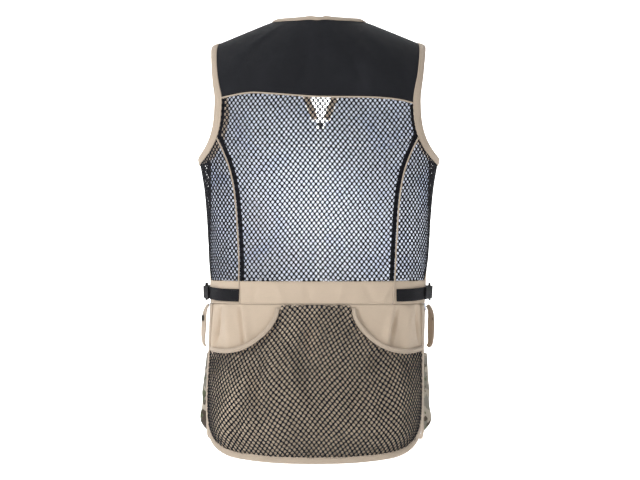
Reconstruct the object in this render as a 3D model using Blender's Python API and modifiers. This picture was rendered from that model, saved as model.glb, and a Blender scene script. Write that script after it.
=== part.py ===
"""A shooting vest, hollow and filled out as when it is worn, held at the shoulders.

Metres, Z up. The wearer faces -Y, so the back with its net and game pouch faces +Y. The origin
is between the shoulders, where the wearer holds the vest up. "l" is the wearer's left, at +X.

Every cloth piece is a sheet on one body surface. A place on that surface is an angle, from 0 at
the middle of the back to 180 at the front closure, and a height. Over the shoulders it is a
distance across and a distance down from the shoulder line, positive on the back.
"""

import math

import bmesh
import bpy
from mathutils import Vector

GAP = 0.0003
HALF_GAP = 0.0002
BODY_RADIUS = 0.150
SIDES = (("l", 1), ("r", -1))
CLOTH = 0.0016
NET = 0.0014
BAND = 0.0020
LOOP_TAPE = 0.0012
TAPE = 0.0090
TAPE_THICK = 0.0034
TAPE_PROUD = 0.0010
WEBBING = 0.0200
WEBBING_THICK = 0.0018
PIPING_RADIUS = 0.0009
PIPING_ROOM = PIPING_RADIUS + GAP + 0.0001
POUCH_DEPTH = 0.013
HEM_THICK, HEM_PROUD = 0.0044, 0.0028
MOUTH_THICK, MOUTH_PROUD = 0.0018, 0.0004
ZIP_TAPE_THICK, CHAIN_THICK, CHAIN_PROUD = 0.0010, 0.0022, 0.0006
CUT = 0.0200
TINY = 1e-9

# The body surface, ring by ring.
# height, half width, back depth, front depth, squareness, sway to the wearer's left
SECTIONS = (
    (0.060, 0.200, 0.082, 0.090, 2.25, 0.0),
    (0.000, 0.204, 0.104, 0.104, 2.30, 0.0),
    (-0.060, 0.206, 0.117, 0.120, 2.30, 0.0),
    (-0.130, 0.205, 0.124, 0.130, 2.30, 0.0),
    (-0.206, 0.197, 0.122, 0.134, 2.35, 0.0),
    (-0.250, 0.189, 0.117, 0.132, 2.40, 0.0),
    (-0.300, 0.184, 0.112, 0.129, 2.40, 0.0),
    (-0.350, 0.181, 0.109, 0.126, 2.40, 0.0),
    (-0.400, 0.178, 0.108, 0.123, 2.40, 0.001),
    (-0.450, 0.176, 0.110, 0.122, 2.40, 0.002),
    (-0.520, 0.1755, 0.115, 0.122, 2.40, 0.004),
    (-0.600, 0.1765, 0.120, 0.122, 2.40, 0.006),
    (-0.720, 0.1765, 0.123, 0.122, 2.40, 0.006),
)

# Over the shoulders the rings close on a rounded ridge.
RIDGE_DROP = 0.085
NECK_POINT = (0.077, 0.018)
SHOULDER_SLOPE = 0.41
RIDGE_ROUND = 0.012

# The largest soft folds: they push the whole wall in (under 0) or out along its normal.
# angle, height, half length, half width, depth, lean of the fold from upright in degrees
FOLDS = (
    (26.0, -0.200, 0.080, 0.020, 0.0024, 12.0),
    (-22.0, -0.230, 0.090, 0.022, -0.0022, -10.0),
    (4.0, -0.330, 0.070, 0.030, 0.0020, 78.0),
    (-34.0, -0.352, 0.045, 0.014, -0.0026, 60.0),
    (33.0, -0.362, 0.045, 0.014, -0.0026, -58.0),
    (60.0, -0.300, 0.070, 0.014, 0.0026, 20.0),
    (-62.0, -0.310, 0.065, 0.014, 0.0024, -24.0),
    (12.0, -0.600, 0.080, 0.016, 0.0030, 8.0),
    (-16.0, -0.580, 0.090, 0.018, -0.0030, -6.0),
    (42.0, -0.610, 0.075, 0.014, -0.0028, 14.0),
    (-44.0, -0.600, 0.070, 0.014, 0.0028, -12.0),
    (128.0, -0.330, 0.110, 0.020, 0.0028, 16.0),
    (-131.0, -0.350, 0.100, 0.022, 0.0028, -14.0),
    (155.0, -0.430, 0.060, 0.022, -0.0024, 70.0),
    (-152.0, -0.420, 0.060, 0.022, -0.0024, -66.0),
)

# The armholes, as ovals seen from the side: top, bottom, reach to the back, reach to the front.
ARMHOLE_EDGE = (-0.0213, -0.2070, 0.0830, 0.0860)
ARMHOLE_SEAM = (-0.0176, -0.2160, 0.0900, 0.0930)
# How square the ovals are above and below their middles.
ARMHOLE_SQUARE = (1.75, 2.8)

# The neck seam of one side, from the zip over the shoulder to the middle of the back:
# share of the way, distance down (under 0 on the front), distance across.
NECK_SEAM = (
    (0.00, -0.2250, 0.0156),
    (0.10, -0.2000, 0.0240),
    (0.25, -0.1500, 0.0410),
    (0.40, -0.1000, 0.0580),
    (0.52, -0.0600, 0.0700),
    (0.60, -0.0300, 0.0765),
    (0.68, 0.0000, 0.0770),
    (0.75, 0.0245, 0.0720),
    (0.80, 0.0367, 0.0650),
    (0.86, 0.0513, 0.0500),
    (0.93, 0.0652, 0.0300),
    (1.00, 0.0772, 0.0000),
)
NECK_SHOULDER = 0.68

# The yoke seam of the back: distance across, height.
YOKE_SEAM = (
    (-0.170, -0.1265),
    (-0.155, -0.1225),
    (-0.129, -0.1172),
    (-0.090, -0.1144),
    (0.000, -0.1137),
    (0.070, -0.1085),
    (0.107, -0.1065),
    (0.156, -0.1135),
    (0.170, -0.1160),
)
# The yoke seam of a front: distance across, height.
FRONT_YOKE_SEAM = ((0.000, -0.178), (0.080, -0.176), (0.170, -0.166))

# The princess seam between the middle and side nets: height, angle.
PRINCESS_SEAM = (
    (-0.170, 52.0),
    (-0.180, 50.0),
    (-0.198, 46.4),
    (-0.219, 43.4),
    (-0.244, 41.7),
    (-0.284, 40.7),
    (-0.350, 40.4),
    (-0.400, 40.6),
    (-0.442, 39.9),
)

# The seam between the side net and the front: height, angle.
SIDE_SEAM = (
    (-0.200, 114.0),
    (-0.216, 111.0),
    (-0.280, 103.0),
    (-0.330, 96.5),
    (-0.365, 90.0),
    (-0.385, 83.5),
    (-0.402, 75.5),
    (-0.442, 77.0),
)
WAIST_TOP = -0.4045
WAIST_BOTTOM = -0.4415

# The bound outer edge of one half of the tail, from the waist to the middle of the hem:
# share of the way, height, angle.
TAIL_EDGE = (
    (0.00, -0.4422, 75.6),
    (0.08, -0.4700, 77.2),
    (0.21, -0.5150, 78.8),
    (0.38, -0.5800, 80.0),
    (0.50, -0.6250, 78.2),
    (0.57, -0.6480, 73.6),
    (0.63, -0.6640, 66.8),
    (0.69, -0.6760, 57.2),
    (0.76, -0.6845, 44.8),
    (0.84, -0.6885, 30.8),
    (0.92, -0.6915, 15.2),
    (1.00, -0.6925, 0.0),
)
TAIL_CORNER = 0.64
TAIL_MOUTH = 0.22
TAIL_MOUTH_ROWS, TAIL_LOWER_ROWS = 4, 11

# The pouch's mouth, where its binding meets the net: share of the way, height, angle.
MOUTH = (
    (0.00, -0.4430, 14.0),
    (0.14, -0.4640, 15.2),
    (0.30, -0.4840, 19.3),
    (0.48, -0.5035, 26.3),
    (0.64, -0.5170, 35.0),
    (0.80, -0.5235, 47.0),
    (0.90, -0.5222, 58.0),
    (1.00, -0.5190, 72.4),
)
MOUTH_STAND = 0.0055
POUCH_LAY = 0.0026
# Where the pouch's net rises off the panel, as shares of its width and height: in from its sides,
# up from its foot, out from the middle at its two mouths, and down to its full depth.
POUCH_SIDE, POUCH_FOOT, POUCH_MOUTHS, POUCH_FULL = 0.16, 0.22, (0.15, 0.25), 0.6
TAIL_GAP = 0.0005

# The free edge of one front, down the vent and along the hem to the zip:
# share of the way, height, angle.
FRONT_EDGE = (
    (0.00, -0.4425, 77.8),
    (0.08, -0.4700, 82.0),
    (0.25, -0.5300, 84.0),
    (0.42, -0.6100, 84.5),
    (0.50, -0.6480, 86.5),
    (0.55, -0.6640, 92.0),
    (0.62, -0.6690, 101.0),
    (0.80, -0.6700, 138.0),
    (1.00, -0.6700, 178.9),
)
FRONT_CORNER = 0.54
FRONT_CENTRE = 0.0066
ZIP_TOP = -0.1505
FRONT_TOP = -0.2300
ZIP_BOTTOM = -0.6650
CHAIN_WIDTH = 0.0056

# The bellows pocket of one front: height, depth at its sides; and its two side edges.
POCKET = (
    (-0.657, 0.0000),
    (-0.648, 0.0130),
    (-0.632, 0.0180),
    (-0.612, 0.0125),
    (-0.600, 0.0150),
    (-0.560, 0.0090),
    (-0.527, 0.0045),
)
POCKET_SIDES = (94.0, 150.0)
POCKET_TOP, POCKET_BOTTOM = -0.527, -0.657
POCKET_LAY = 0.0026
POCKET_COLUMNS = (0, 0.03, 0.07, 0.12, 0.2, 0.3, 0.4, 0.5, 0.6, 0.7, 0.8, 0.88, 0.93, 0.97, 1)
POCKET_GAPE = 0.009
POCKET_EASE = 0.12

# One side strap and its anchor on the front, as the webbing's path: depth (over 0 behind the
# side line), distance of its middle from the body. Each folds round a bar of the buckle.
STRAP = (
    (0.0845, 0.0016),
    (0.0760, 0.0016),
    (0.0670, 0.0016),
    (0.0570, 0.0016),
    (0.0470, 0.0016),
    (0.0370, 0.0016),
    (0.0270, 0.0018),
    (0.0170, 0.0020),
    (0.0100, 0.0022),
    (0.0050, 0.0026),
    (0.0014, 0.0036),
    (0.0004, 0.0060),
    (0.0014, 0.0086),
    (0.0050, 0.0098),
    (0.0090, 0.0100),
    (0.0150, 0.0092),
    (0.0220, 0.0074),
    (0.0290, 0.0056),
    (0.0340, 0.0048),
)
ANCHOR = (
    (-0.0720, 0.0018),
    (-0.0620, 0.0018),
    (-0.0520, 0.0018),
    (-0.0420, 0.0018),
    (-0.0320, 0.0020),
    (-0.0240, 0.0023),
    (-0.0195, 0.0026),
    (-0.0156, 0.0036),
    (-0.0144, 0.0064),
    (-0.0156, 0.0094),
    (-0.0195, 0.0113),
    (-0.0240, 0.0114),
    (-0.0300, 0.0100),
    (-0.0370, 0.0074),
    (-0.0440, 0.0056),
)
STRAP_HEIGHTS = (-0.4238, -0.4277)
BUCKLE_DEPTHS = (0.0083, -0.0215)
BUCKLE_BAR = 0.0037
BUCKLE_TALL = 0.0290
BUCKLE_LAY = 0.0061
BUCKLE_THICK = 0.0034
BUCKLE_ROOM = 0.0008

# The hang loop of one side: its tape's path, as height and distance of its middle out.
HANG_LOOP = (
    (-0.4470, 0.0016),
    (-0.4600, 0.0016),
    (-0.4740, 0.0018),
    (-0.4880, 0.0022),
    (-0.5020, 0.0030),
    (-0.5110, 0.0046),
    (-0.5145, 0.0076),
    (-0.5115, 0.0108),
    (-0.5020, 0.0124),
    (-0.4880, 0.0124),
    (-0.4740, 0.0120),
    (-0.4620, 0.0114),
    (-0.4540, 0.0096),
    (-0.4480, 0.0066),
    (-0.4460, 0.0042),
)
HANG_DEPTHS = (-0.0030, -0.0190)
SNAP_HEIGHT = -0.4680
SNAP_RADIUS = 0.0055
SNAP_THICK = 0.0026

# The zip's slider, the staple on it and the pull tab under the staple.
SLIDER = (0.0084, 0.0044, 0.0110)
SLIDER_HEIGHT = -0.1445
STAPLE_WIDTH = 0.0018
STAPLE_INNER = (0.0026, 0.0042)
STAPLE_BAR = 0.0012
STAPLE_SINK = 0.0010
SLIDER_PROUD = 0.0004
PIVOT_RISE = 0.0018
TAB = (0.0056, 0.0012, 0.0240)
TAB_WINDOW = (0.0028, 0.0064)
TAB_AXIS_OUT = 0.0012

# How finely the walls are laid: pieces that share a seam share its rows or columns.
YOKE_ROWS = [0.0, 0.04] + [i / 8 for i in range(1, 9)]
YOKE_BEND = 1.25
NET_ARM_ROWS, SEAM_ROWS = 4, 9
SIDE_COLUMNS = 9
FRONT_ARM_ROWS, FRONT_COLUMNS, VENT_ROWS, VENT_LEAD = 4, 12, 7, 0.05
NECK_COLUMNS, SHOULDER_COLUMNS = 5, 5
NECK_ROWS = [0.0, 0.04] + [i / 8 for i in range(1, 9)]
FRONT_YOKE_ROWS = [0.85 * share for share in NECK_ROWS] + [0.90, 1.0]
TAIL_COLUMNS, MOUTH_COLUMNS = 24, 8
MOUTH_SHARE = MOUTH_COLUMNS / TAIL_COLUMNS
MOUTH_GAP = (0.0020, 0.0009)

BEIGE = (0.62, 0.50, 0.38)
BLACK = (0.020, 0.020, 0.026)
CAMO = (0.20, 0.17, 0.13)
STEEL = (0.30, 0.30, 0.31)


def row_value(table, at, column):
    """Reads a table at a place of its first column, smoothly between its rows."""
    rows = table if table[0][0] <= table[-1][0] else table[::-1]
    if at <= rows[0][0]:
        return rows[0][column]
    if at >= rows[-1][0]:
        return rows[-1][column]
    i = 0
    while rows[i + 1][0] < at:
        i += 1
    x0, x1 = rows[i][0], rows[i + 1][0]
    y0, y1 = rows[i][column], rows[i + 1][column]
    width = x1 - x0
    before = after = (y1 - y0) / width
    if i > 0:
        before = (y1 - rows[i - 1][column]) / (x1 - rows[i - 1][0])
    if i + 2 < len(rows):
        after = (rows[i + 2][column] - y0) / (rows[i + 2][0] - x0)
    t = (at - x0) / width
    return (
        (2 * t**3 - 3 * t**2 + 1) * y0
        + (t**3 - 2 * t**2 + t) * width * before
        + (3 * t**2 - 2 * t**3) * y1
        + (t**3 - t**2) * width * after
    )


def along_table(table, t):
    """The second and third columns of a table at a share of the way."""
    return row_value(table, t, 1), row_value(table, t, 2)


def mix(a, b, t):
    return a + (b - a) * t


def smooth(t):
    t = min(1.0, max(0.0, t))
    return t * t * (3 - 2 * t)


def even(count):
    """Shares from 0 to 1 in even steps."""
    return [i / count for i in range(count + 1)]


def ridge(across):
    """Height of the shoulder line at a distance across."""
    rounded = math.sqrt(across * across + RIDGE_ROUND * RIDGE_ROUND)
    return NECK_POINT[1] + SHOULDER_SLOPE * (NECK_POINT[0] - rounded)


def ring(height):
    return [row_value(SECTIONS, height, column) for column in range(1, 6)]


def opened(across, height):
    """How far the ring at this height has opened below the shoulder line, 0 to 1."""
    drop = ridge(across) - height
    if drop >= RIDGE_DROP:
        return 1.0
    return math.sqrt(max(0.0, 1 - (1 - drop / RIDGE_DROP) ** 2))


def bare_round(angle, height):
    """A point of the body surface without its folds, from an angle and a height."""
    half, back, front, square, sway = ring(height)
    s, c = math.sin(math.radians(angle)), math.cos(math.radians(angle))
    x = half * math.copysign(abs(s) ** (2 / square), s)
    depth = back if c > 0 else front
    y = opened(x, height) * depth * math.copysign(abs(c) ** (2 / square), c)
    return Vector((x + sway, y, height))


def bare_over(across, down):
    """The same surface over the shoulders, from a distance across and down."""
    reach = abs(down)
    turn = reach / RIDGE_DROP
    height = ridge(across) - reach + RIDGE_DROP * (math.pi / 2 - 1)
    share_open = 1.0
    if turn < math.pi / 2:
        height = ridge(across) - RIDGE_DROP * (1 - math.cos(turn))
        share_open = math.sin(turn)
    half, back, front, square, sway = ring(height)
    depth = back if down > 0 else front
    share = min(1.0, abs(across) / half)
    y = share_open * depth * (1 - share**square) ** (1 / square)
    return Vector((across + sway, math.copysign(y, down), height))


def down_of(across, height):
    """Distance down the surface from the shoulder line to a height."""
    drop = ridge(across) - height
    if drop < RIDGE_DROP:
        return RIDGE_DROP * math.acos(1 - max(0.0, drop) / RIDGE_DROP)
    return drop + RIDGE_DROP * (math.pi / 2 - 1)


def angle_of(across, height, front=False):
    """Angle of the place at a distance across."""
    half, _, _, square, _ = ring(height)
    share = min(1.0, abs(across) / half)
    angle = math.degrees(math.asin(share ** (square / 2)))
    return math.copysign(180 - angle if front else angle, across)


def round_place(point):
    """Angle and height of the surface place nearest to a point."""
    half, back, front, square, sway = ring(point.z)
    x = point.x - sway
    depth = back if point.y > 0 else front
    s = (abs(x) / half) ** (square / 2)
    c = (abs(point.y) / (depth * max(0.05, opened(x, point.z)))) ** (square / 2)
    angle = math.degrees(math.atan2(s, math.copysign(c, point.y)))
    return math.copysign(angle, x), point.z


def over_place(point):
    """Distance across and down of the surface place nearest to a point."""
    half, back, front, square, sway = ring(point.z)
    x = point.x - sway
    drop = ridge(x) - point.z
    if drop >= RIDGE_DROP:
        return x, math.copysign(down_of(x, point.z), point.y)
    depth = back if point.y > 0 else front
    share = min(0.999, abs(x) / half)
    flat = depth * (1 - share**square) ** (1 / square)
    turn = math.atan2(abs(point.y) / flat, 1 - drop / RIDGE_DROP)
    return x, math.copysign(turn * RIDGE_DROP, point.y)


def outward(point):
    """A rough direction out of the vest, to tell the outer side of a wall."""
    return Vector((point.x, point.y, max(0.0, point.z + 0.10)))


def normal_at(bare, p, q):
    """Outward normal of a surface function at its two parameters."""
    step_p = 0.4 if bare is bare_round else 0.001
    along_p = bare(p + step_p, q) - bare(p - step_p, q)
    along_q = bare(p, q + 0.001) - bare(p, q - 0.001)
    normal = along_p.cross(along_q).normalized()
    if normal.dot(outward(bare(p, q))) < 0:
        normal.negate()
    return normal


def fold_shift(point):
    """How far the folds push the wall out at a point."""
    angle, height = round_place(point)
    shift = 0.0
    for fold_angle, fold_height, length, width, depth, lean in FOLDS:
        across = math.radians(angle - fold_angle) * BODY_RADIUS
        down = height - fold_height
        turn = math.radians(lean)
        along = (down * math.cos(turn) + across * math.sin(turn)) / length
        aside = (across * math.cos(turn) - down * math.sin(turn)) / width
        shift += depth * math.exp(-(along**2) - aside**2)
    return shift


def round_body(angle, height, out=0.0):
    """A point of the folded surface, moved out by a distance."""
    point = bare_round(angle, height)
    return point + normal_at(bare_round, angle, height) * (out + fold_shift(point))


def over_body(across, down, out=0.0):
    """The same over the shoulders."""
    point = bare_over(across, down)
    return point + normal_at(bare_over, across, down) * (out + fold_shift(point))


def inset(bare, place, curve, t, width):
    """A curve's place at t, moved across the surface to the left of its direction."""
    step = 0.004
    here = bare(*curve(t))
    ahead = bare(*curve(min(1.0, t + step))) - bare(*curve(max(0.0, t - step)))
    aside = normal_at(bare, *curve(t)).cross(ahead).normalized()
    return place(here + aside * width)


def patch(top, bottom, left, right):
    """Fills four boundary curves of places: top and bottom run from left to right."""
    corner_a, corner_b, corner_c, corner_d = top(0), top(1), bottom(0), bottom(1)

    def at(u, v):
        result = []
        for k in range(2):
            across = mix(left(v)[k], right(v)[k], u)
            down = mix(top(u)[k], bottom(u)[k], v)
            upper = mix(corner_a[k], corner_b[k], u)
            lower = mix(corner_c[k], corner_d[k], u)
            result.append(across + down - mix(upper, lower, v))
        return result

    return at


def chained(*curves):
    """Curves end to end as one, each a function and the share of the way that it takes."""

    def at(t):
        for curve, share in curves:
            if t <= share + TINY:
                return curve(min(1.0, t / share))
            t -= share
        return curves[-1][0](1.0)

    return at


def flipped(curve, sign):
    """A curve of one side, taken to the side of the sign."""
    return lambda t: (sign * curve(t)[0], curve(t)[1])


def solve(value, low, high):
    """The argument between low and high at which a value passes zero."""
    rising = value(high) > value(low)
    for _ in range(40):
        middle = (low + high) / 2
        if (value(middle) < 0) == rising:
            low = middle
        else:
            high = middle
    return (low + high) / 2


def armhole(rim, t, grow=0.0):
    """Depth and height of a place on an armhole's oval, seen from the side. The share t
    runs from its top down the back, under the arm and up the front."""
    top, bottom, back, front = rim
    s, c = math.sin(2 * math.pi * t), math.cos(2 * math.pi * t)
    reach = (back if s > 0 else front) + grow
    middle, half = (top + bottom) / 2, (top - bottom) / 2 + grow
    square = ARMHOLE_SQUARE[0] if c > 0 else ARMHOLE_SQUARE[1]
    y = reach * math.copysign(abs(s) ** (2 / square), s)
    z = middle + half * math.copysign(abs(c) ** (2 / square), c)
    return y, z


def side_width(y, z):
    """Distance across at which the body surface has this depth and height."""
    half, back, front, square, _ = ring(z)
    depth = back if y > 0 else front

    def spare(across):
        flat = (1 - min(1.0, across / half) ** square) ** (1 / square)
        return opened(across, z) * depth * flat - abs(y)

    return solve(lambda x: spare(x) if spare(x) > 0 else -1.0, 0.05, half)


def armhole_over(rim, t, grow=0.0):
    y, z = armhole(rim, t, grow)
    across = side_width(y, z)
    return across, down_of(across, z) * (1 if t < 0.5 else -1)


def armhole_round(rim, t, grow=0.0):
    y, z = armhole(rim, t, grow)
    return angle_of(side_width(y, z), z, front=y < 0), z


def to_degrees(width):
    return math.degrees(width / BODY_RADIUS)


def material(name, colour, roughness, metallic):
    made = bpy.data.materials.new(name)
    made.use_nodes = True
    shader = made.node_tree.nodes["Principled BSDF"]
    shader.inputs["Base Color"].default_value = (*colour, 1.0)
    shader.inputs["Roughness"].default_value = roughness
    shader.inputs["Metallic"].default_value = metallic
    return made


def add(name, data, colour, roughness=0.9, metallic=0.0):
    made = bpy.data.objects.new(name, data)
    data.materials.append(material(name + "_look", colour, roughness, metallic))
    vest.objects.link(made)
    return made


def sheet(name, place, us, vs, thickness, colour, closed=False, middle=False):
    """A cloth wall: a grid laid on the body by place(u, v), then thickened inwards."""
    columns, rows = len(us) - 1, len(vs) - 1
    bm = bmesh.new()
    bmesh.ops.create_grid(bm, x_segments=columns, y_segments=rows, size=1.0)
    for vertex in bm.verts:
        i = round((vertex.co.x + 1) / 2 * columns)
        j = round((vertex.co.y + 1) / 2 * rows)
        vertex.co = place(us[i], vs[j])
    if closed:
        bmesh.ops.remove_doubles(bm, verts=bm.verts, dist=0.00001)
    bm.normal_update()
    out = sum(face.normal.dot(outward(face.calc_center_median())) for face in bm.faces)
    if out < 0 and not middle:
        bmesh.ops.reverse_faces(bm, faces=bm.faces)
    mesh = bpy.data.meshes.new(name)
    bm.to_mesh(mesh)
    bm.free()
    mesh.shade_smooth()
    made = add(name, mesh, colour)
    wall = made.modifiers.new("wall", "SOLIDIFY")
    wall.thickness = thickness
    wall.offset = 0.0 if middle else -1.0
    return made


def cord(name, points, radius, colour):
    """A round cord: a curve with a bevel and filled caps."""
    curve = bpy.data.curves.new(name, "CURVE")
    curve.dimensions = "3D"
    spline = curve.splines.new("POLY")
    spline.points.add(len(points) - 1)
    for item, point in zip(spline.points, points):
        item.co = (*point, 1.0)
    curve.bevel_depth = radius
    curve.bevel_resolution = 1
    curve.use_fill_caps = True
    return add(name, curve, colour)


def block(name, size, collection=None):
    """A box as its own object, to be placed, cut or joined."""
    bm = bmesh.new()
    bmesh.ops.create_cube(bm, size=1.0)
    bmesh.ops.scale(bm, vec=Vector(size), verts=bm.verts)
    mesh = bpy.data.meshes.new(name)
    bm.to_mesh(mesh)
    bm.free()
    if collection is None:
        return mesh
    made = bpy.data.objects.new(name, mesh)
    made.hide_render = True
    made.display_type = "WIRE"
    collection.objects.link(made)
    return made


def combine(target, other, operation):
    """Cuts or joins another object with a Boolean."""
    step = target.modifiers.new(other.name, "BOOLEAN")
    step.operation = operation
    step.solver = "EXACT"
    step.object = other


class Seams:
    """Places along the vest's seams that more than one piece shares."""

    def __init__(self, sign):
        self.sign = sign
        self.room = to_degrees(PIPING_ROOM)
        self.yoke_end = self.on_armhole(lambda x, a, z: z - self.yoke_seam(x) - PIPING_ROOM, 0.05, 0.4)
        self.net_start = self.on_armhole(lambda x, a, z: z - self.yoke_seam(x) + PIPING_ROOM, 0.05, 0.4)
        self.net_end = self.at_princess(-self.room)
        self.side_start = self.at_princess(self.room)
        self.side_end = self.at_side(-to_degrees(HALF_GAP))
        self.front_start = self.at_side(to_degrees(HALF_GAP))
        self.front_end = self.on_armhole(lambda x, a, z: z - self.front_seam(x) + HALF_GAP, 0.6, 0.95)
        self.front_yoke_end = self.on_armhole(lambda x, a, z: z - self.front_seam(x) - HALF_GAP, 0.6, 0.95)

    def yoke_seam(self, across):
        return row_value(YOKE_SEAM, self.sign * across, 1)

    def front_seam(self, across):
        return row_value(FRONT_YOKE_SEAM, across, 1)

    def on_armhole(self, value, low, high):
        def at(t):
            y, z = armhole(ARMHOLE_SEAM, t, HALF_GAP)
            across = side_width(y, z)
            return value(across, angle_of(across, z, front=y < 0), z)

        return solve(at, low, high)

    def at_princess(self, shift):
        return self.on_armhole(lambda x, a, z: a - row_value(PRINCESS_SEAM, z, 1) - shift, 0.3, 0.46)

    def at_side(self, shift):
        return self.on_armhole(lambda x, a, z: a - row_value(SIDE_SEAM, z, 1) - shift, 0.5, 0.68)

    def shares(self, start, end, count):
        return [mix(start, end, share) for share in even(count)]

    def stations(self):
        """Every share of the armhole at which a piece has a corner or a row."""
        found = [self.yoke_end * v**YOKE_BEND for v in YOKE_ROWS]
        found += self.shares(self.net_start, self.net_end, NET_ARM_ROWS)
        found += self.shares(self.side_start, self.side_end, SIDE_COLUMNS)
        found += self.shares(self.front_start, self.front_end, FRONT_ARM_ROWS)
        found += [1 - (1 - self.front_yoke_end) * v**YOKE_BEND for v in FRONT_YOKE_ROWS]
        return sorted(set(found))



def armhole_curve(sign, start, end):
    """The armhole's seam between two shares, as angles and heights for a panel's edge."""

    def at(t):
        angle, height = armhole_round(ARMHOLE_SEAM, mix(start, end, t), HALF_GAP)
        return sign * angle, height

    return at


def seam_curve(table, sign, start, shift):
    """A seam from the armhole to the waist, for the piece on one side of it."""
    top = armhole(ARMHOLE_SEAM, start, HALF_GAP)[1]

    def at(t):
        height = mix(top, WAIST_TOP + HALF_GAP, t)
        return sign * (row_value(table, height, 1) + shift), height

    return at


def princess_curve(sign, start, shift):
    return seam_curve(PRINCESS_SEAM, sign, start, shift)


def side_curve(sign, start, shift):
    return seam_curve(SIDE_SEAM, sign, start, shift)


def straight(a, b):
    return lambda t: (mix(a[0], b[0], t), mix(a[1], b[1], t))


def shared(count_a, count_b, share):
    """Even shares up to a share of the way, then even shares to the end."""
    first = [share * i / count_a for i in range(count_a + 1)]
    return first + [mix(share, 1.0, i / count_b) for i in range(1, count_b + 1)]


def yoke_columns():
    """Shares across the yoke from right to left, with the neck points among them."""
    half = armhole_over(ARMHOLE_SEAM, 0.0, HALF_GAP)[0]
    neck = NECK_POINT[0] / half
    side = [mix(1.0, neck, i / SHOULDER_COLUMNS) for i in range(SHOULDER_COLUMNS)]
    middle = [neck * (1 - i / NECK_COLUMNS) for i in range(NECK_COLUMNS + 1)]
    left = side + middle
    both = [-share for share in left] + left[-2::-1]
    return [(share + 1) / 2 for share in both]


def neck_share(across):
    """The share of the neck seam at a distance across, on the back."""
    return solve(lambda t: row_value(NECK_SEAM, t, 2) - across, NECK_SHOULDER, 1.0)


def neck_seam(t):
    down, across = along_table(NECK_SEAM, t)
    return across, down


def tail_edge(t):
    height, angle = along_table(TAIL_EDGE, t)
    return angle, height


def tail_seam(t, grow=0.0):
    """The inner edge of the tail's binding, moved in by a gap."""
    return inset(bare_round, round_place, tail_edge, t, TAPE + grow)


def front_edge(t):
    height, angle = along_table(FRONT_EDGE, t)
    return angle, height


def front_seam_edge(t, grow=0.0):
    """The inner edge of a front's binding, moved in by a gap."""
    return inset(bare_round, round_place, front_edge, t, -TAPE - grow)


def vent_start():
    """The share of a front's edge at which its binding's inner edge leaves the waistband."""
    return solve(lambda t: front_seam_edge(t, GAP)[1] - FRONT_EDGE[0][1], 0.0, 0.1)


def mouth(t):
    """The edge of the pouch's net at one mouth, ending on the tail's binding."""
    height, angle = along_table(MOUTH, t)
    end_angle, end_height = tail_seam(TAIL_MOUTH, TAIL_GAP)
    pull = t**6
    return mix(angle, end_angle, pull), mix(height, end_height, pull)


def angle_at_depth(depth, height):
    """The angle at which the bare surface has a depth, near the side."""
    _, back, front, square, _ = ring(height)
    full = back if depth > 0 else front
    cosine = math.copysign((abs(depth) / full) ** (square / 2), depth)
    return math.degrees(math.acos(cosine))


def round_seam(curve):
    """A seam given as distance across and height on the back, as angle and height."""

    def at(u):
        across, height = curve(u)
        return angle_of(across, height), height

    return at


def over_seam(curve):
    """The same as distance across and down."""

    def at(u):
        across, height = curve(u)
        return across, down_of(across, height)

    return at


def build_back(left, right):
    """The yoke, the middle net and the piping between them."""
    columns = yoke_columns()
    half = armhole_over(ARMHOLE_SEAM, 0.0, HALF_GAP)[0]

    def seam(room, end_left, end_right):
        ends = [side_width(*armhole(ARMHOLE_SEAM, t, HALF_GAP)) for t in (end_right, end_left)]

        def at(u):
            across = mix(-ends[0], ends[1], u)
            return across, row_value(YOKE_SEAM, across, 1) + room

        return at

    def top(u):
        across = mix(-half, half, u)
        down = 0.0
        if abs(across) < NECK_POINT[0] - TINY:
            down = row_value(NECK_SEAM, neck_share(abs(across)), 1)
        return across, down + HALF_GAP

    def side(seams):
        def at(t):
            across, down = armhole_over(ARMHOLE_SEAM, seams.yoke_end * t**YOKE_BEND, HALF_GAP)
            return seams.sign * across, max(down, HALF_GAP)

        return at

    above = over_seam(seam(PIPING_ROOM, left.yoke_end, right.yoke_end))
    yoke = patch(top, above, side(right), side(left))
    sheet("back_yoke", lambda u, v: over_body(*yoke(u, v)), columns, YOKE_ROWS, CLOTH, BLACK)

    share = NET_ARM_ROWS / (NET_ARM_ROWS + SEAM_ROWS)

    def net_side(seams):
        arm = armhole_curve(seams.sign, seams.net_start, seams.net_end)
        down = princess_curve(seams.sign, seams.net_end, -seams.room)
        return chained((arm, share), (down, 1 - share))

    below = seam(-PIPING_ROOM, left.net_start, right.net_start)
    angle = row_value(PRINCESS_SEAM, WAIST_TOP, 1) - left.room
    bottom = straight((-angle, WAIST_TOP + HALF_GAP), (angle, WAIST_TOP + HALF_GAP))
    net = patch(round_seam(below), bottom, net_side(right), net_side(left))
    rows = shared(NET_ARM_ROWS, SEAM_ROWS, share)
    sheet("back_net_center", lambda u, v: round_body(*net(u, v)), columns, rows, NET, BLACK)

    line = over_seam(seam(0.0, left.yoke_end, right.yoke_end))
    points = [over_body(*line(mix(0.5, u, 0.994))) for u in columns]
    cord("yoke_piping", points, PIPING_RADIUS, BEIGE)


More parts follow.
